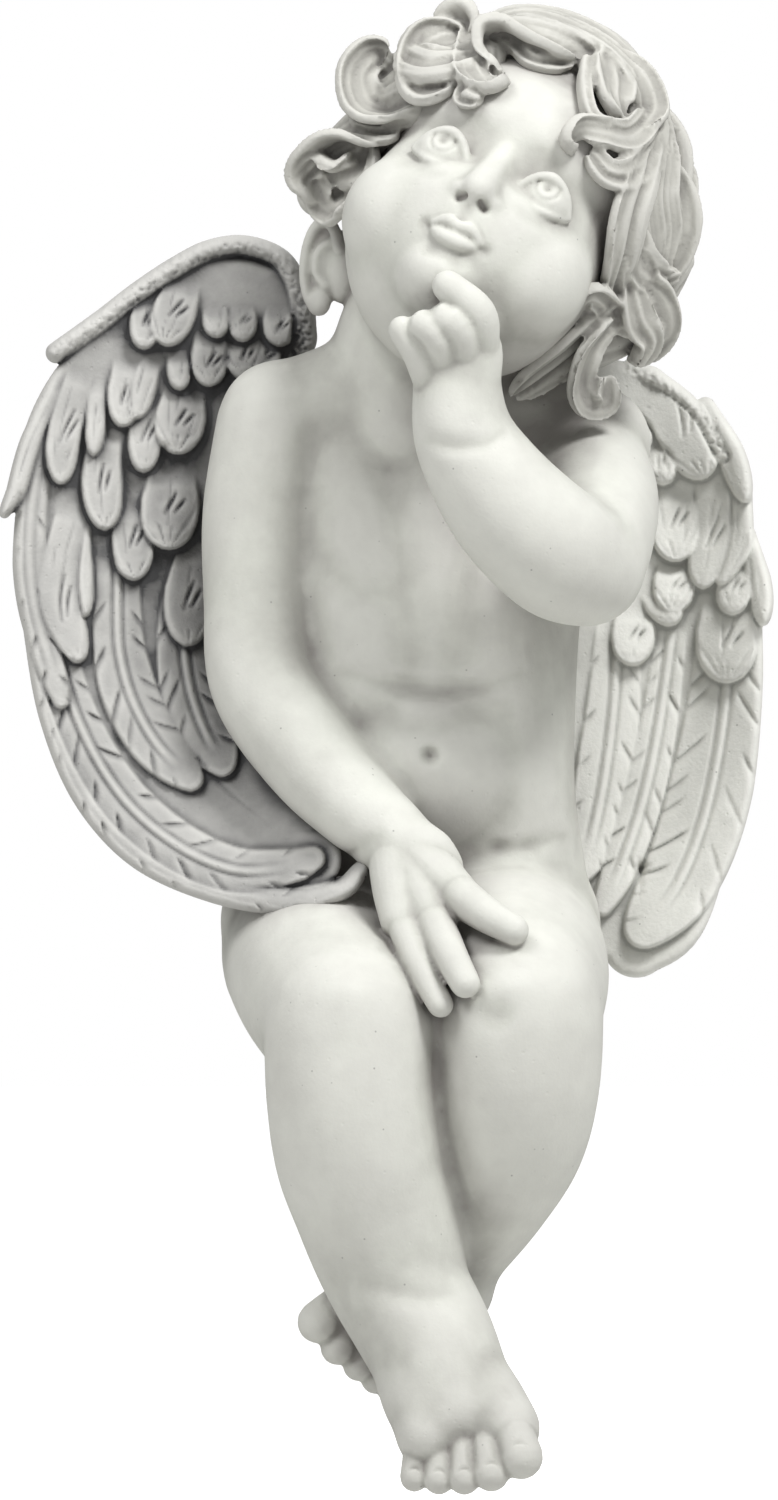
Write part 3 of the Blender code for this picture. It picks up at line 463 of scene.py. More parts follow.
# Feathers are laid from the tip of the wing upward: half width, then x, z from root to tip.
RIGHT_FLIGHT = (
    (4.0, (-90, 118), (-89, 104), (-87, 87), (-83, 68), (-75, 50), (-62, 36), (-44, 28), (-26, 25),
        (-13, 28), (-8, 33)),
    (6.0, (-86, 96), (-78, 69), (-67, 50), (-53, 38), (-38, 32), (-24, 33), (-18, 35)),
    (7.4, (-52, 100), (-52, 86), (-50, 74), (-46, 63), (-41, 54)),
    (6.9, (-68, 106), (-68, 92), (-67, 82), (-63.5, 71), (-57, 60), (-48, 51)),
    (4.2, (-86, 138), (-89, 115), (-88, 95), (-81, 70)),
)
RIGHT_COVERTS = (
    (2.6, (-82, 150), (-89, 135), (-93, 122), (-96, 116)),
    (3.0, (-77, 117), (-77, 104), (-76, 92)),
    (5.0, (-79, 119), (-82, 98), (-77, 81)),
    (6.0, (-49, 110), (-51, 96), (-51, 85)),
    (5.2, (-65, 120), (-64, 101)),
    (7.2, (-55, 128), (-56, 109)),
    (5.0, (-71, 138), (-72, 126), (-71, 113)),
    (4.2, (-77, 152), (-81, 136), (-82, 124)),
    (2.6, (-73, 150), (-74, 131)),
    (4.2, (-61, 146), (-62, 127)),
    (6.2, (-52, 148), (-54, 132)),
    (4.2, (-66, 155), (-67, 138)),
    (3.2, (-60, 155), (-64, 140)),
    (3.0, (-54, 157), (-53, 147)),
    (4.4, (-32, 160), (-34, 150)),
    (5.0, (-38, 161), (-37, 150)),
    (4.7, (-46, 162), (-46, 148)),
    (3.4, (-45, 168), (-44, 160)),
    (3.6, (-38, 168), (-38, 159)),
    (4.2, (-29, 168), (-29, 158)),
    (4.0, (-61, 170), (-62, 157)),
    (5.4, (-52, 174), (-57, 158)),
)
RIGHT_WEB = (
    ((-30, 168, 9), (-47, 166, 13), (-66, 146, 14), (-74, 115, 15), (-71, 80, 16), (-56, 50, 12),
        (-34, 36, 8)),
    ((-20, 140, 10), (-36, 120, 18), (-44, 92, 18), (-38, 66, 14), (-26, 48, 10)),
    ((-27, 160, 7), (-27, 170, 6), (-36, 166, 12)),
    ((-54, 42, 8), (-38, 36, 9), (-22, 34, 8)),
    ((-24, 150, 6), (-38, 142, 14), (-44, 128, 14), (-50, 100, 16)),
    ((-64, 160, 8), (-76, 150, 7), (-84, 138, 6), (-88, 124, 5)),
)
RIGHT_ROLL = ((-24, 156), (-24, 168), (-28, 178), (-37, 182), (-46, 181), (-54, 177), (-63, 171),
    (-72, 164), (-83, 156))
RIGHT_DEPTHS = (
    (-20, 154, 24), (-20, 168, 24), (-37, 183, 25), (-64, 180, 21), (-88, 157, 13), (-95, 118, 5),
    (-92, 70, -3), (-80, 40, -10), (-55, 24, -21), (-30, 20, -33), (-5, 34, -40), (-60, 120, 16),
    (-50, 85, 11), (-50, 55, -4), (-22, 120, 20), (-22, 80, 15), (-20, 42, -25), (-40, 40, -17),
)
LEFT_FLIGHT = (
    (7.2, (53, 92), (51.5, 70), (49, 52), (46, 38), (43, 28)),
    (10.2, (80, 92), (79, 76), (76, 57), (71.5, 40), (65, 25), (56, 13)),
    (5.0, (66, 90), (62.5, 66), (58, 46), (52.5, 30), (48, 20)),
)
LEFT_COVERTS = (
    (3.0, (84, 112), (87, 100), (88, 90)),
    (5.4, (57, 95), (56, 81)),
    (4.2, (60, 100), (67, 91)),
    (7.4, (79, 97), (79, 77)),
    (5.2, (67, 106), (66, 94)),
    (4.4, (82, 106), (80, 93)),
    (3.2, (83, 122), (82, 110), (77, 100)),
    (5.0, (76, 126), (75, 111), (73, 99)),
    (6.0, (66, 124), (67, 106)),
    (3.4, (74, 143), (80, 132), (84, 120)),
    (7.0, (60, 148), (68, 139), (74, 126)),
    (4.0, (60, 134), (65, 125)),
    (3.6, (54, 138), (60, 134)),
)
LEFT_WEB = (
    ((50, 148, 6), (64, 138, 9), (74, 118, 10), (77, 92, 10), (77, 64, 9), (71, 38, 9), (65, 20, 9),
        (57, 13, 8)),
    ((34, 140, 12), (50, 118, 14), (53, 90, 15), (50, 60, 14), (47, 34, 11), (52, 18, 9)),
    ((44, 149, 7), (55, 149, 5)),
    ((70, 100, 9), (66, 70, 9), (62, 40, 9)),
)
LEFT_ROLL = ((56, 153), (64, 149), (72, 142), (78, 131))
LEFT_DEPTHS = (
    (35, 150, 24), (58, 150, 31), (82, 130, 24), (92, 95, 16), (88, 50, 12), (72, 15, 8), (55, 8, 14),
    (70, 115, 32), (70, 75, 28), (62, 40, 22), (42, 115, 22), (42, 60, 24), (42, 25, 20),
)


def bending(x, z, spots):
    """A smooth bent sheet through spots of x, z and depth, like a thin plate pinned at them."""
    spots = np.array(spots, float)
    gaps = np.hypot(spots[:, 0][:, None] - spots[:, 0], spots[:, 1][:, None] - spots[:, 1])
    count = len(spots)
    system = np.zeros((count + 3, count + 3))
    system[:count, :count] = gaps**2 * np.log(gaps + 1e-9)
    system[:count, count:] = np.column_stack([np.ones(count), spots[:, :2]])
    system[count:, :count] = system[:count, count:].T
    weights = np.linalg.solve(system, np.append(spots[:, 2], np.zeros(3)))
    sheet = weights[count] + weights[count + 1] * x + weights[count + 2] * z
    for weight, (sx, sz, _) in zip(weights, spots):
        away = np.hypot(x - sx, z - sz)
        sheet += weight * away**2 * np.log(away + 1e-9)
    return sheet


def ease(value, low, high):
    share = np.clip((value - low) / (high - low), 0, 1)
    return share * share * (3 - 2 * share)


def tool_cut(across, along, start, stop, width, depth):
    """A straight cut on a feather from one (across, along) place to another, tapering out."""
    run = np.subtract(stop, start)
    share = np.clip(((across - start[0]) * run[0] + (along - start[1]) * run[1]) / (run @ run), 0, 1)
    away = np.hypot(across - start[0] - share * run[0], along - start[1] - share * run[1])
    taper = 0.35 + 0.65 * np.sin(np.pi * np.clip(share, 0.05, 0.95))
    return -depth * np.exp(-((away / width) ** 2)) * taper


def flight_face(across, along, width, length, rng):
    """A long feather: a quill between two fine lines, and slanted cuts in from both edges."""
    aside = np.abs(across)
    quill = 0.5 * np.exp(-((across / 0.75) ** 2)) - 0.5 * np.exp(-(((aside - 1.35) / 0.45) ** 2))
    face = quill * (1 - ease(along, length * 0.8, length * 0.95)) * ease(width, 3.5, 5)
    for side in (-1, 1):
        place = rng.uniform(2, BARB_PITCH)
        while place < length:
            lean = along - 1.25 * aside - place
            inner = rng.uniform(0.15, 0.55)
            cut = np.where(lean < 0, np.exp(-((lean / 0.4) ** 2)), np.exp(-((lean / 1.5) ** 2)))
            reached = ease(aside / width, inner, inner + 0.25) * (across * side > 0)
            face -= rng.uniform(0.5, 1.0) * cut * reached
            place += BARB_PITCH * rng.uniform(0.55, 1.5)
    return face


def covert_face(across, along, width, length, rng):
    """A short feather: a pair of cuts in the middle and small nicks round its end."""
    face = np.zeros(across.shape)
    if width > 3.5:
        lean, top = rng.uniform(0.05, 0.35), rng.uniform(0.35, 0.5)
        for aside, start, long in ((0.0, top, 0.3), (0.32, top + 0.08, 0.2)):
            near = ((lean + aside) * width, length * start)
            far = ((aside - 0.15) * width, length * (start + long))
            face += tool_cut(across, along, near, far, 0.42, 1.1)
    angle = np.degrees(np.arctan2(across, length - along + 0.7 * width))
    rim = width - np.hypot(across, np.maximum(along - length + width, 0))
    for at in np.arange(-80, 81, 21):
        at += rng.uniform(-7, 7)
        nick = np.exp(-(((angle - at) / 3.5) ** 2))
        face -= rng.uniform(0.1, 0.5) * nick * (1 - ease(rim, 0.5, rng.uniform(1.0, 2.2)))
    for _ in range(3):
        at = rng.uniform(-0.6, 0.6) * width
        start, stop = np.sort(rng.uniform(0.1, 0.95, 2)) * length
        face += tool_cut(across, along, (at, start), (at * 0.7 - 0.3, stop), 0.28, 0.3)
    return face


def course_of(places):
    """How far along its path each place lies."""
    return np.append(0, np.cumsum(np.linalg.norm(np.diff(places, axis=0), axis=1)))


def new_piece(name, verts, faces):
    mesh = bpy.data.meshes.new(name)
    mesh.from_pydata(verts, [], faces)
    piece = bpy.data.objects.new(name, mesh)
    bpy.context.collection.objects.link(piece)
    return piece


def wing(name, flight, coverts, web, roll, bead, depths, seed):
    """Carve a wing on a fine grid: web, feathers laid like shingles, rolled edge, then the back."""
    rng = np.random.default_rng(seed)
    strokes = [("web", through(path, 1.5)) for path in web]
    for kind, feathers in (("flight", flight), ("covert", coverts)):
        for half, *stations in feathers:
            path = through(stations, 1.0)
            share = np.linspace(0, 1, len(path))
            tip = path[-1] - path[-2]
            path = path - np.outer(share**2, tip / np.linalg.norm(tip)) * half * 0.5
            closing = np.clip(share * 2 - 1, 0, 1)
            taper = (0.75 + 0.25 * np.minimum(share * 2, 1)) * np.sqrt(1 - 0.75 * closing**3)
            strokes.append((kind, np.column_stack([path, half * taper])))
    strokes.append(("roll", np.array([(*p, bead) for p in through(roll, 1.0)])))
    rows = np.vstack([s[1] for s in strokes])
    low, high = rows[:, :2].min(0) - MARGIN, rows[:, :2].max(0) + MARGIN
    ruled = [np.arange(low[axis], high[axis], WING_GRAIN) for axis in (0, 1)]
    x, z = np.meshgrid(*ruled, indexing="ij")
    grain = rng.normal(size=x.shape)
    for axis in (0, 1):
        grain = grain + np.roll(grain, 1, axis)
    cover, rise = np.full(x.shape, FAR), np.zeros(x.shape)
    for kind, path in strokes:
        best, width = np.full(x.shape, FAR), np.ones(x.shape)
        along, across = np.zeros(x.shape), np.zeros(x.shape)
        course = course_of(path[:, :2])
        heading = np.gradient(path[:, :2], axis=0)
        heading /= np.linalg.norm(heading, axis=1)[:, None]
        for (px, pz, half), (hx, hz), run in zip(path, heading, course):
            away = np.hypot(x - px, z - pz)
            closer = away - half < best
            best = np.where(closer, away - half, best)
            width = np.where(closer, half, width)
            along = np.where(closer, run + (x - px) * hx + (z - pz) * hz, along)
            across = np.where(closer, (z - pz) * hx - (x - px) * hz, across)
        cover = np.minimum(cover, best)
        share = np.clip(along / course[-1], 0, 1)
        lift = np.clip(np.abs(across) / width, 0, 1)
        if kind == "web":
            height = np.zeros(x.shape)
        elif kind == "roll":
            swell = np.sqrt(1 - 0.9 * np.clip(best / bead + 1, 0, 1) ** 2)
            height = 1.1 * bead * swell * ease(share, 0, 0.3) + 0.1 * grain
        else:
            raised = FEATHER * 0.5 if kind == "covert" else 0.0
            height = FEATHER * (0.2 + 1.15 * share) * (1 - 0.3 * lift**2) + raised * share
            carve = flight_face if kind == "flight" else covert_face
            height += carve(across, along, path[:, 2].max(), course[-1], rng)
        blend = ease(-best, -0.35, 0.55)
        if kind in ("flight", "covert"):
            blend *= ease(along, -0.5, 5.0)
        rise = rise * (1 - blend) + height * blend
    lie = bending(x, z, depths)
    slope = np.gradient(cover, WING_GRAIN)
    steep = np.maximum(np.hypot(*slope), 0.3)
    outside = (cover > 0) & (cover < 2.5 * WING_GRAIN)
    x = np.where(outside, x - cover * slope[0] / steep**2, x)
    z = np.where(outside, z - cover * slope[1] / steep**2, z)
    edge = 1 - np.clip(-cover / EDGE_ROUND, 0, 1)
    core = WEB / 2 * np.sqrt(np.maximum(1 - edge**2, 0.004))
    soft = rise.copy()
    for _ in range(BACK_PASSES):
        soft = sum((np.roll(soft, way, axis) for axis in (0, 1) for way in (1, -1)), soft) / 5
    front = np.stack([x, lie - core - rise * np.sqrt(1 - 0.7 * edge**4), z], -1)
    behind = np.stack([x, lie + core + 0.5 * soft, z], -1)
    inside = cover < 0
    cells = inside[:-1, :-1] | inside[1:, :-1] | inside[:-1, 1:] | inside[1:, 1:]
    tall, wide = cells.shape
    corners = ((0, 0), (1, 0), (1, 1), (0, 1))
    here = np.zeros(x.shape, bool)
    for a, b in corners:
        here[a : a + tall, b : b + wide] |= cells
    number = np.cumsum(here.ravel()).reshape(here.shape) - 1
    total = here.sum()
    corner = [number[a : a + tall, b : b + wide] for a, b in corners]
    faces = [np.stack(corner, -1)[cells], np.stack(corner[::-1], -1)[cells] + total]
    ringed = np.pad(cells, 1)
    for (a, b), one, two in (((0, -1), 0, 1), ((1, 0), 1, 2), ((0, 1), 2, 3), ((-1, 0), 3, 0)):
        rim = cells & ~ringed[1 + a : 1 + a + tall, 1 + b : 1 + b + wide]
        near, far = corner[one][rim], corner[two][rim]
        faces.append(np.stack([near, near + total, far + total, far], -1))
    verts = np.vstack([front[here], behind[here]])
    piece = new_piece(name, verts.tolist(), np.vstack(faces).tolist())
    piece.data.validate()
    return piece


right_wing = wing("right_wing", RIGHT_FLIGHT, RIGHT_COVERTS, RIGHT_WEB, RIGHT_ROLL, 2.6, RIGHT_DEPTHS, 3)
left_wing = wing("left_wing", LEFT_FLIGHT, LEFT_COVERTS, LEFT_WEB, LEFT_ROLL, 2.0, LEFT_DEPTHS, 8)

# The hair.
# Thick wavy locks are swept off the face and roll over at their ends. Each lock is a hollowed band
# with raised edges and a few combed lines, laid on the skull from the crown to its curled end.

HAIR_GRAIN, HAIR_PASSES = 0.5, 3
LOCK = 2.6  # thickness of a band of hair
STRAND = 1.9  # spacing of the lines combed along the locks
FINE_CUT, DEEP_CUT = 0.34, 0.55  # depth of the comb's lines, and of the deeper ones among them
COMB_NEAR, COMB_FAR = 1.2, 3.0  # the lines fade out between these distances from a lock's face
skull = head_place @ Vector(SKULL_CENTRE)
SKULL_ROUND = 39.0
TURNED, TURNED_DEPTH, SIDE_SLOPE = 0.9, 0.436, 0.35  # where the front turns away, how deep, how steep


def on_head(x, z, lift):
    """The place on the head's front over x, z, brought forward by `lift`."""
    away = math.hypot(x - skull.x, z - skull.z)
    flat = TURNED * SKULL_ROUND
    if away < flat:
        return Vector((x, skull.y - math.sqrt(SKULL_ROUND**2 - away**2) - lift, z))
    return Vector((x, skull.y - TURNED_DEPTH * SKULL_ROUND + (away - flat) * SIDE_SLOPE - lift, z))


combed = []  # place, direction across, distance across, distance along and number of each lock's face


def band(places, halves, tilts, cup, combs, seed):
    """A band of hair through places, with its half widths, its lean about its own length, and hollow."""
    rows = through([(*p, h, t) for p, h, t in zip(places, halves, tilts)], 1.0)
    rng = np.random.default_rng(seed)
    course = course_of(rows[:, :3])
    tongue = np.minimum(1, np.minimum(course + 0.8, course[-1] - course + 0.5) / (1.5 * rows[:, 3]))
    tongue = np.sqrt(1 - (1 - tongue) ** 2)
    heading = np.gradient(rows[:, :3], axis=0)
    heading /= np.linalg.norm(heading, axis=1)[:, None]
    around = np.linspace(-1, 1, 19)
    deep, close, start = rng.uniform(0.08, 0.2), rng.uniform(0.6, 1.2), rng.uniform(0, 6)
    lines = deep * np.cos(np.pi * combs * close * around + start)
    edged = 0.55 + cup * (0.95 * np.abs(around) ** 2.6 - 0.25)
    face = edged * np.sqrt(1 - around**12) + lines * (1 - around**6)
    under = -(0.6 + 1.2 * (1 - cup)) * np.sqrt(1 - around**2)
    section = np.column_stack([np.append(around, around[-2:0:-1]), np.append(face, under[-2:0:-1])])
    verts, faces = [], []
    count = len(section)
    for place, ahead, run, round_off in zip(rows, heading, course, tongue):
        out = Vector(place[:3]) - skull
        ahead = Vector(ahead)
        out = (out - ahead * out.dot(ahead)).normalized()
        out = Matrix.Rotation(math.radians(place[4]), 3, ahead) @ out
        wide = ahead.cross(out)
        half, thick = place[3] * round_off, 0.4 + 0.6 * round_off
        for across, height in section:
            verts.append(Vector(place[:3]) + wide * across * half + out * height * LOCK * thick)
        for step in range(1, len(around), 2):
            combed.append((*verts[step - len(section)], *wide, around[step] * half, run, seed))
    for row in range(len(rows) - 1):
        for k in range(count):
            n = (k + 1) % count
            faces.append((row * count + k, row * count + n, (row + 1) * count + n, (row + 1) * count + k))
    faces.append(tuple(range(count))[::-1])
    faces.append(tuple(range(len(verts) - count, len(verts))))
    return new_piece("lock", [tuple(v) for v in verts], faces)


# Locks about the face, seen from the front: hollow, then x, z, forward lift, half width, lean.
LOCKS = (
    # crown strands swept from the top of the head down to its right side
    (0.1, ((20, 234, 0, 4, 0), (30, 237, -2, 6, 0), (42, 234, 0, 7, 0), (52, 228, 2, 6, 0),
        (58, 220, 3, 4, 0))),
    (0.2, ((26, 238, -6, 5, 0), (40, 236, -6, 7, 0), (52, 229, -4, 8, 0), (59, 217, -3, 8, 0),
        (62, 204, -3, 7, 0))),
    (0.3, ((54, 227, -2, 5, 0), (60, 214, 0, 6, 10), (63, 200, 1, 6, 10), (63, 186, 0, 5, 0),
        (62, 172, 0, 4, 0))),
    # forelock: rises at the parting, rolls over and falls back on the brow
    (0.9, ((42, 226, 4, 4, 10), (34, 230, 7, 5.5, 20), (25, 234, 8, 5.5, 35), (19, 232, 9, 5, 60),
        (19, 226, 8, 4, 70), (24, 222, 5, 2.5, 60))),
    (0.8, ((41, 225, 2, 3.5, -30), (33, 226, 4, 4, -30), (28, 230, 4, 3.5, -30), (22, 232, 3, 3, -20))),
    (0.8, ((18, 235, 2, 3, 0), (17, 228, 7, 4, -10), (17, 222, 8, 4.5, -20), (21, 219, 8, 3.5, -40),
        (26, 221, 7, 2.5, -60))),
    (0.3, ((20, 226, 3, 3, 0), (17, 219, 6, 3, 0), (15, 216, 8, 2.6, 20), (19, 215, 8, 2, 40))),
    # curl that stands on top of the head
    (0.9, ((19, 227, 2, 4, 20), (19, 233.5, 3, 4.5, 50), (15, 237, 3, 4.5, 80), (11, 235.5, 2, 4, 90),
        (12, 233, 1, 3, 90))),
    # next curl along the brow, opening upward
    (0.9, ((14, 221, 6, 5, 0), (7, 219, 8, 7, 10), (4, 225, 7, 6, 40), (6, 231, 5, 5, 60),
        (12, 232, 3, 4, 70), (16, 231, 2, 3, 60))),
    (0.2, ((18, 226.5, 8, 4.5, 0), (13, 225, 11, 6, 0), (7, 224.5, 11.5, 6.5, 0), (2.5, 226, 8, 5.5, 0),
        (1, 228, 4, 4, 0))),
    (0.5, ((16, 226, 3, 4, 0), (8, 223, 5, 5, 0), (2, 221, 5, 4, 0))),
    # cupped curl at the temple, open to the front
    (1.0, ((8, 218, 2, 4, 0), (-2, 213, 5, 5.5, 20), (-8.5, 215, 6, 6, 55), (-10.5, 222, 5, 5.5, 75),
        (-7.5, 227, 3, 5, 90), (-3.5, 227, 1, 4, 95), (-1, 223, 0, 3, 90))),
    (0.4, ((6, 214, 1, 4, 0), (-4, 211, 3, 4, 0), (-12, 212, 4, 3.5, 20))),
    # large curl over the ear
    (1.0, ((0, 208, 1, 4, 10), (-8, 208, 4, 6, 30), (-15, 207, 5, 7, 50), (-20, 203, 5, 7, 60),
        (-22, 198, 4, 7, 70), (-19, 192, 3, 6, 80))),
    (0.8, ((-7, 206, 1, 4, 0), (-9, 200, 3, 5, -30), (-15, 199, 6, 5, -50), (-19, 201, 6, 4, -70),
        (-22, 198, 5, 3, -70))),
    (0.7, ((-7, 203, 0, 4, 0), (-10, 196, 2, 5, 0), (-16, 191, 3, 6, 20), (-19, 194, 3, 5, 40),
        (-21, 198, 3, 3, 60))),
    # locks at the right temple: a hollow roll, then the curl that points at the brow
    (0.5, ((49, 229, 4, 4, 0), (51, 222, 6.5, 6.5, 0), (51.5, 216, 6, 6, -15), (53, 211, 4, 4, -40))),
    (0.2, ((45, 226, 5, 1.8, 0), (44.6, 219, 7, 2, 0), (46, 212, 8, 2, 0), (50, 209, 7, 2, 0))),
    (0.6, ((50, 228, 3, 4, 0), (57, 222, 4, 5, 20), (60, 214, 4, 5, 40), (57, 208, 4, 4, 60))),
    (0.8, ((60, 212, 4, 4, 20), (55, 207, 7, 4.5, 0), (48, 208, 8, 4, -10), (43, 209, 8, 3.5, -40),
        (40, 206, 7, 3, -70), (42, 203, 5, 2.4, -80))),
    (0.6, ((45, 203, 5, 3, 0), (50, 198, 6, 4, 0), (56, 199, 6, 4.5, 10), (60, 205, 4, 4, 20))),
    # long strands falling behind the cheek, and the shell that turns up outside them
    (0.5, ((61, 208, 3, 5, 0), (58, 197, 6, 6, 0), (55, 187, 7, 6, 0), (53, 177, 7, 5, 0),
        (50, 168, 6, 3, 0))),
    (0.4, ((64, 208, 1, 6, 5), (62, 195, 4, 7, 10), (63, 184, 5, 6.5, 10), (62, 174, 5, 5, 0))),
    (0.9, ((62, 201, 0, 6, 10), (65, 195, 2, 6.5, 25), (67, 187, 3, 6.5, 35), (65, 179, 3, 6, 25),
        (61, 174, 3, 5, 10), (59, 175, 3, 3, 0))),
    (0.6, ((56, 186, 5, 5, 0), (57, 178, 7, 5.5, 0), (62, 173, 7, 5, 0), (67, 174, 5, 3, 0))),
    (0.9, ((55, 180, 6, 5, 0), (57, 172, 8, 6, 5), (61, 168, 8, 5.5, 15), (63, 162, 7, 5, 30),
        (60, 157, 6, 5, 25), (55, 153, 5, 3, 0))),
    (0.5, ((55, 172, 8, 4, 0), (57, 164, 10, 5, 0), (60, 158, 9, 4, 10), (57, 152, 8, 2.6, 0))),
    # small hook before the jaw, and the open rolled lock below it
    (0.7, ((55, 160, 9, 3, 0), (51, 165, 10, 3.5, 0), (46.5, 169, 10, 3.5, -10), (43, 167, 9, 2.6, -20),
        (42, 163, 8, 2, -20))),
    (0.8, ((55, 168, 6, 5, 0), (48, 162, 9, 6.5, 0), (41, 155, 11, 7, 0), (34, 150, 10, 6, 0),
        (27, 145, 8, 4, 0))),
    (1.0, ((51, 163, 11, 3.5, 0), (45.5, 156, 14, 4.5, -10), (43, 148, 14, 4.5, -25),
        (45, 143, 14, 4, -40), (49.5, 143.5, 13, 3.5, -30), (49.5, 150, 12, 3, 0))),
)
CAP_CENTRE, CAP_HALF = (-0.6, 9, 14), (31.6, 31.3, 32)


def tress(stations, seed):
    """A round roll of hair under the locks, with places for the comb all over its surface."""
    rows = through([*stations], 1.5)
    heading = np.gradient(rows[:, :3], axis=0)
    for place, ahead, run in zip(rows, heading, course_of(rows[:, :3])):
        ahead = Vector(ahead).normalized()
        side = ahead.cross(Vector((0, 1, 0))).normalized()
        for turn in np.arange(16) * math.pi / 8 + run / 18:  # sixteen places round, turning as it goes
            out = Matrix.Rotation(turn, 3, ahead) @ side
            spot = Vector(place[:3]) + out * place[3]
            combed.append((*spot, *ahead.cross(out), (turn - run / 18) * place[3], run, seed))
    return limb(stations)


hair = [ball(CAP_CENTRE, CAP_HALF, place=head_place)]
hair += [
    tress([(50, -14, 222, 6.5), (58, -13, 208, 7.5), (60, -13, 192, 8), (57, -14, 176, 7.5),
        (51, -14, 163, 6)], 41),
    tress([(33, -17, 150, 4), (41, -17, 155, 6), (54, -10, 164, 8), (64, -7, 178, 7)], 42),
    tress([(20, -18, 226, 6), (8, -17, 222, 7), (-4, -12, 212, 7), (-14, -10, 201, 7.5),
        (-19, -8, 194, 6)], 43),
    tress([(17, -10, 234, 4), (7, -14, 228.5, 6), (4, -8, 224, 6)], 44),
    tress([(-8, -9, 222.5, 5), (-5, -8, 219, 6.5), (3, -2, 214, 6)], 45),
    tress([(-15, -8, 204, 6), (-14, -6, 199, 7), (-8, 0, 193, 7)], 46),
    tress([(22, -14, 232, 5), (34, -16, 230, 6), (46, -12, 226, 7)], 47),
    ball(on_head(51, 204, 1), (6, 4, 6)),
]
for turn, (cup, rows) in enumerate(LOCKS):
    places = [on_head(x, z, lift) for x, z, lift, half, lean in rows]
    hair.append(band(places, [r[3] for r in rows], [r[4] for r in rows], cup, 3, turn))

# Behind, the hair falls in waves from the crown to the nape and turns up there, and a few shorter
# strands run forward under the curls over the brow.
BACK_LOCKS, TOP_LOCKS = 15, 5
FALL_STEPS = 6
crown = Matrix.Rotation(math.radians(-28), 3, "X")
swings = [(math.radians(-118 + 236 * turn / (BACK_LOCKS - 1)), 100) for turn in range(BACK_LOCKS)]
swings += [(math.radians(134 + 92 * turn / (TOP_LOCKS - 1)), 46) for turn in range(TOP_LOCKS)]
for turn, (swing, length) in enumerate(swings):
    places, halves, leans = [], [], []
    behind = max(math.cos(swing), 0)
    for step in range(FALL_STEPS + 1):
        down = math.radians(14 + (length + 14 * behind) * step / FALL_STEPS)
        sway = swing + 0.16 * math.sin(step * 1.7 + turn * 2.1)
        sway += 0.10 * step / FALL_STEPS * math.sin(turn * 1.3)
        way = (math.sin(sway) * math.sin(down), math.cos(sway) * math.sin(down), math.cos(down))
        reach = 1.0 + (0.012 + 0.023 * behind) * math.sin(step * 1.9 + turn)
        if step == FALL_STEPS:
            reach += 0.05 * behind
        local = Vector([s * (half + 1.2) * reach for s, half in zip(crown @ Vector(way), CAP_HALF)])
        places.append(head_place @ (local + Vector(CAP_CENTRE)))
        halves.append(4.0 + 3.4 * math.sin(math.pi * (step + 0.6) / 7.4))
        leans.append(14 * math.sin(step * 1.3 + turn))
    hair.append(band(places, halves, leans, 0.35, 4, 100 + turn))
hair = melt("hair", hair, HAIR_GRAIN, HAIR_PASSES)


def edge_ends(piece):
    """The point numbers of every edge's two ends, as two lists."""
    ends = np.empty(len(piece.data.edges) * 2, int)
    piece.data.edges.foreach_get("vertices", ends)
    return ends.reshape(-1, 2).T


def beside(values, ends):
    """For each point, the sum of a value over the points that share an edge with it."""
    one, two = ends
    return np.bincount(one, values[two], len(values)) + np.bincount(two, values[one], len(values))


def comb(piece, samples):
    """Draw a comb along the locks: narrow wandering lines with a deeper one here and there."""
    points, normals = vertex_table(piece)
    tree = KDTree(len(samples))
    for number, sample in enumerate(samples):
        tree.insert(sample[:3], number)
    tree.balance()
    nearest = [tree.find(point) for point in points.tolist()]
    which, away = np.array([n[1] for n in nearest]), np.array([n[2] for n in nearest])
    table = np.array(samples)[which]
    aside = table[:, 6] + ((points - table[:, :3]) * table[:, 3:6]).sum(1)
    run, seed = table[:, 7], table[:, 8]
    wander = 0.9 * np.sin(run / 7 + seed * 1.7) + 0.35 * np.sin(run / 2.6 + seed)
    fine = (0.5 + 0.5 * np.cos(2 * np.pi * aside / STRAND + wander + seed * 2.1)) ** 3
    deep = (0.5 + 0.5 * np.cos(2 * np.pi * aside / (STRAND * 2.7) + 0.6 * wander + seed * 0.9)) ** 5
    patchy = 0.65 + 0.35 * np.sin(run / 5 + seed * 3.3)
    cut = (FINE_CUT * fine * patchy + DEEP_CUT * deep) * (1 - ease(away, COMB_NEAR, COMB_FAR))
    ends = edge_ends(piece)
    around = np.maximum(beside(np.ones(len(cut)), ends), 1)
    for _ in range(2):
        cut = 0.5 * cut + 0.5 * beside(cut, ends) / around
    store_points(piece, points - normals * cut[:, None])


comb(hair, combed)

# The casting's surface.
# The pieces are one casting of stone-filled resin. Grey wash was wiped over it, and stays in the
# hollows, most of all on wings, hair and feet. The skin was rubbed back to a pale matt white.
# Painted shade is added where the rest of the casting closes off the air round a point.

# Sizes in the finish, in millimetres: clouds and smears of the wash, the spacing of dark specks and
# of pits, and the sand of the filler, drawn coarser than the real powder so that it shows.
CLOUD, SMEAR, SPECK_PITCH, PIT_PITCH, SAND = 22, 6, 6.5, 3.4, 0.9
WAYS = 22  # directions in which shelter is looked for
EVERY = 5  # one point in so many is looked from, and the others take their share from it
SIGHT = 60.0  # how far off the rest of the casting still shelters a point
CLEAR, GRAZING = 0.4, 0.1  # how far off the skin a look starts, and the flattest look that counts


def lighten(piece, triangles):
    """Thin out the carved mesh where it is flat."""
    have = sum(len(p.vertices) - 2 for p in piece.data.polygons)
    thin = piece.modifiers.new("Thin", "DECIMATE")
    thin.ratio = min(1.0, triangles / have)
    finish_modifiers(piece)


def mark(piece, name, values):
    piece.data.attributes.new(name, "FLOAT", "POINT").data.foreach_set("value", values)


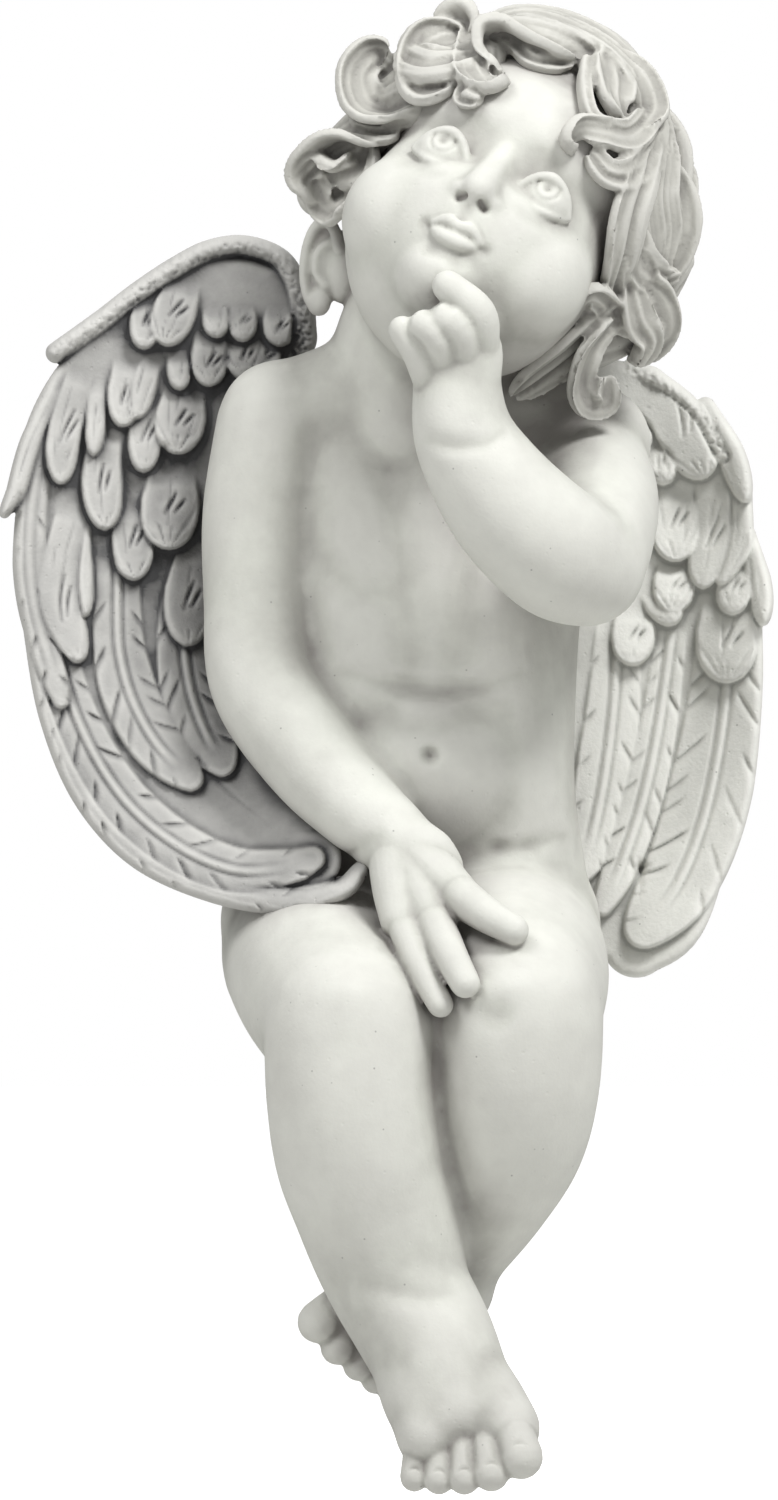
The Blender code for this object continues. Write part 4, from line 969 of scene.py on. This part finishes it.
def mark_hollows(piece, passes):
    """Store how deep each point lies below its surroundings, in millimetres."""
    points, normals = vertex_table(piece)
    ends = edge_ends(piece)
    around = np.maximum(beside(np.ones(len(points)), ends), 1)
    soft = points.copy()
    for _ in range(passes):
        for axis in range(3):
            soft[:, axis] = 0.35 * soft[:, axis] + 0.65 * beside(soft[:, axis], ends) / around
    mark(piece, "hollow", ((soft - points) * normals).sum(1))


def spread(piece, values, passes=14):
    """Fill the gaps between known values over a mesh, and soften them. Unknown values are NaN."""
    ends = edge_ends(piece)
    known = np.isfinite(values).astype(float)
    held = np.where(known > 0, values, 0.0)
    for _ in range(passes):
        for share in (held, known):
            share += beside(share, ends)
            share /= 5
    return held / np.maximum(known, 1e-12)


def mark_shelter(pieces):
    """Store how much of the air round each point the rest of the casting closes off."""
    whole = bmesh.new()
    for piece in pieces:
        whole.from_mesh(piece.data)
    tree = BVHTree.FromBMesh(whole)
    whole.free()
    turns = np.arange(WAYS) + 0.5
    rise, spin = 1 - 2 * turns / WAYS, turns * math.pi * (1 + math.sqrt(5))
    flat = np.sqrt(1 - rise**2)
    ways = np.column_stack([flat * np.cos(spin), flat * np.sin(spin), rise])
    for piece in pieces:
        points, normals = vertex_table(piece)
        closed = np.full(len(points), np.nan)
        for number in range(0, len(points), EVERY):
            toward = ways @ normals[number]
            start = Vector(points[number] + CLEAR * normals[number])
            seen = np.nonzero(toward > GRAZING)[0]
            shut = sum(toward[k] for k in seen if tree.ray_cast(start, Vector(ways[k]), SIGHT)[0])
            closed[number] = shut / toward[seen].sum()
        mark(piece, "shelter", spread(piece, closed))


def linear(hexed):
    """A colour written as sRGB hex, as linear light."""
    parts = [int(hexed[i : i + 2], 16) / 255 for i in (1, 3, 5)]
    return (*[p / 12.92 if p <= 0.04045 else ((p + 0.055) / 1.055) ** 2.4 for p in parts], 1.0)


def add(tree, kind, links, **settings):
    """Add a node, give it its settings, and link or set the sockets named in `links`."""
    node = tree.nodes.new("ShaderNode" + kind)
    for name, value in settings.items():
        setattr(node, name, value)
    for socket, value in links.items():
        if isinstance(value, bpy.types.NodeSocket):
            tree.links.new(value, node.inputs[socket])
        else:
            node.inputs[socket].default_value = value
    return node


def cast_stone(name, pale, wash, hold, shaded, grain):
    """Matt stone-filled resin: pale faces, grey wash held in hollows, sandy grain, pits and specks.

    A hollow `hold` mm deep is filled with wash. Where the air is closed off, up to `shaded` of the
    wash colour is laid on as painted shade.
    """
    material = bpy.data.materials.new(name)
    material.use_nodes = True
    tree = material.node_tree
    shader = tree.nodes["Principled BSDF"]
    shader.inputs["Roughness"].default_value = 0.72
    shader.inputs["Specular IOR Level"].default_value = 0.3
    where = add(tree, "TexCoord", {}).outputs["Object"]
    height = add(tree, "SeparateXYZ", {"Vector": where}).outputs["Z"]
    hollow = add(tree, "Attribute", {}, attribute_name="hollow").outputs["Fac"]
    shelter = add(tree, "Attribute", {}, attribute_name="shelter").outputs["Fac"]
    clouds = add(tree, "TexNoise", {"Vector": where, "Scale": 1 / (CLOUD * MM), "Detail": 4.0,
        "Roughness": 0.55})
    smears = add(tree, "TexNoise", {"Vector": where, "Scale": 1 / (SMEAR * MM), "Detail": 5.0,
        "Roughness": 0.6})
    held = add(tree, "MapRange", {"Value": hollow, "From Min": -0.05, "From Max": hold})
    blotch = add(tree, "MapRange", {"Value": clouds.outputs["Fac"], "From Min": 0.4,
        "From Max": 0.7, "To Max": 0.22})
    streak = add(tree, "MapRange", {"Value": smears.outputs["Fac"], "From Min": 0.35,
        "From Max": 0.75, "To Max": 0.16})
    feet = add(tree, "MapRange", {"Value": height, "From Min": -0.055, "From Max": -0.100,
        "To Max": 0.3})
    # painted shade: wash colour laid where the rest of the casting closes off the air
    painted_shade = add(tree, "MapRange", {"Value": shelter, "From Min": 0.15, "From Max": 0.75,
        "To Max": shaded})
    amount = held.outputs["Result"]
    for more in (blotch, streak, feet, painted_shade):
        amount = add(tree, "Math", {0: amount, 1: more.outputs["Result"]}, operation="ADD",
            use_clamp=True).outputs[0]
    tone = add(tree, "Mix", {"Factor": amount, 6: linear(pale), 7: linear(wash)},
        data_type="RGBA")
    worn = add(tree, "MapRange", {"Value": hollow, "From Min": -0.30, "From Max": -0.02,
        "To Min": 1.0, "To Max": 0.0})
    bright = add(tree, "Math", {0: worn.outputs["Result"], 1: 0.35}, operation="MULTIPLY")
    specks = add(tree, "TexVoronoi", {"Vector": where, "Scale": 1 / (SPECK_PITCH * MM),
        "Randomness": 1.0})
    speck = add(tree, "MapRange", {"Value": specks.outputs["Distance"], "From Min": 0.02,
        "From Max": 0.05, "To Min": 0.55, "To Max": 0.0})
    for share, colour in ((bright.outputs[0], "#dfded9"), (speck.outputs["Result"], "#6d6c6b")):
        tone = add(tree, "Mix", {"Factor": share, 6: tone.outputs[2], 7: linear(colour)},
            data_type="RGBA")
    tree.links.new(tone.outputs[2], shader.inputs["Base Color"])
    sand = add(tree, "TexNoise", {"Vector": where, "Scale": 1 / (SAND * MM), "Detail": 3.0})
    pits = add(tree, "TexVoronoi", {"Vector": where, "Scale": 1 / (PIT_PITCH * MM),
        "Randomness": 1.0})
    pit = add(tree, "MapRange", {"Value": pits.outputs["Distance"], "From Min": 0.03,
        "From Max": 0.14})
    relief = add(tree, "Math", {0: sand.outputs["Fac"], 1: pit.outputs["Result"]},
        operation="ADD")
    bump = add(tree, "Bump", {"Height": relief.outputs[0], "Strength": grain,
        "Distance": 0.3 * MM})
    tree.links.new(bump.outputs["Normal"], shader.inputs["Normal"])
    return material


# The same stone with four finishes: rubbed pale, heavily washed with painted shade, wiped back with
# painted light, and grey in the locks.
skin_stone = cast_stone("rubbed_cast_stone", "#d0d1c9", "#908d89", 1.2, 0.85, 0.2)
# painted shade: the right wing's stone is darker, partly an uneven wash and partly painted shade
right_wing_shaded_stone = cast_stone("washed_and_painted_shade_stone_right_wing", "#b6b5b2", "#474748", 0.9, 0.6, 0.5)
# painted light: the left wing's stone is paler, partly a lighter wash and partly painted light
left_wing_lit_stone = cast_stone("washed_and_painted_light_stone_left_wing", "#e6e6e0", "#a3a39e", 0.9, 0.2, 0.5)
hair_stone = cast_stone("washed_cast_stone_hair", "#bcbbb4", "#807e7a", 0.9, 0.4, 0.4)

# Each piece with its stone, its most triangles, and how many passes find its hollows.
casting = (
    (figure, skin_stone, 190000, 24),
    (right_wing, right_wing_shaded_stone, 185000, 16),
    (left_wing, left_wing_lit_stone, 125000, 16),
    (hair, hair_stone, 185000, 16),
)
for piece, _, triangles, passes in casting:
    lighten(piece, triangles)
    mark_hollows(piece, passes)
# the shelter found here drives painted shade in every stone
mark_shelter([piece for piece, *_ in casting])
for piece, stone, *_ in casting:
    piece.data.transform(Matrix.Scale(MM, 4))
    piece.data.materials.clear()
    piece.data.materials.append(stone)
    piece.data.polygons.foreach_set("use_smooth", np.ones(len(piece.data.polygons), bool))
    piece.data.update()
    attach(piece, "root")
    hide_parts("angel_statue")

# The studio.
# A white paper floor lies under the statue, with one large soft light high on the right of the
# camera and a fainter one on its left. Its places and sizes are in metres.

FLOOR_DROP = 0.135  # the paper lies this far below the seat
bpy.ops.mesh.primitive_plane_add(size=14, location=(0, 0, -FLOOR_DROP))
floor = bpy.context.object
floor.name = "floor"
paper = bpy.data.materials.new("white_paper")  # matt white background paper
paper.use_nodes = True
sweep = paper.node_tree.nodes["Principled BSDF"]
sweep.inputs["Base Color"].default_value = linear("#d4d4d2")
sweep.inputs["Roughness"].default_value = 0.9
sweep.inputs["Emission Color"].default_value = (1, 1, 1, 1)
looked_at = add(paper.node_tree, "LightPath", {}).outputs["Is Camera Ray"]
# the paper glows for the camera and hardly lights the statue
lit = add(paper.node_tree, "MapRange", {"Value": looked_at, "To Min": 0.05, "To Max": 0.9})
paper.node_tree.links.new(lit.outputs["Result"], sweep.inputs["Emission Strength"])
floor.data.materials.append(paper)

world = bpy.data.worlds.new("studio")
bpy.context.scene.world = world
world.use_nodes = True
seen = add(world.node_tree, "LightPath", {}).outputs["Is Camera Ray"]
# the room is plain white to the camera and lights the statue more dimly
glow = add(world.node_tree, "MapRange", {"Value": seen, "To Min": 0.34, "To Max": 1.0})
world.node_tree.nodes["Background"].inputs["Color"].default_value = (1, 1, 1, 1)
world.node_tree.links.new(glow.outputs["Result"], world.node_tree.nodes["Background"].inputs["Strength"])


def softbox(name, place, aim, size, watts):
    lamp = bpy.data.lights.new(name, "AREA")
    lamp.energy = watts
    lamp.size = size
    stand = bpy.data.objects.new(name, lamp)
    bpy.context.collection.objects.link(stand)
    stand.location = place
    stand.rotation_euler = (Vector(aim) - Vector(place)).to_track_quat("-Z", "Y").to_euler()


softbox("key", (0.85, -0.95, 1.75), (0, 0, 0.08), 0.6, 38)
softbox("fill", (-0.95, -0.95, 1.5), (0, 0, 0.08), 0.8, 17)

camera = bpy.data.objects.new("camera", bpy.data.cameras.new("camera"))
bpy.context.collection.objects.link(camera)
bpy.context.scene.camera = camera
CAMERA_AWAY = 5.0
PICTURE_HIGH = 0.360  # what the picture's height shows at the statue
MIDDLE_X, MIDDLE_Z = -0.00264, 0.060
STATUE_FRONT = 0.02  # the picture's size holds at this distance before the seat's middle
camera.location = (MIDDLE_X, -CAMERA_AWAY, MIDDLE_Z)
camera.rotation_euler = (math.radians(90), 0, 0)
camera.data.sensor_fit = "VERTICAL"
FILM = 24  # height of the camera's sensor in millimetres
camera.data.sensor_height = FILM
camera.data.lens = FILM * (CAMERA_AWAY - STATUE_FRONT) / PICTURE_HIGH
camera.data.clip_end = 20

bpy.context.scene.view_settings.view_transform = "Standard"
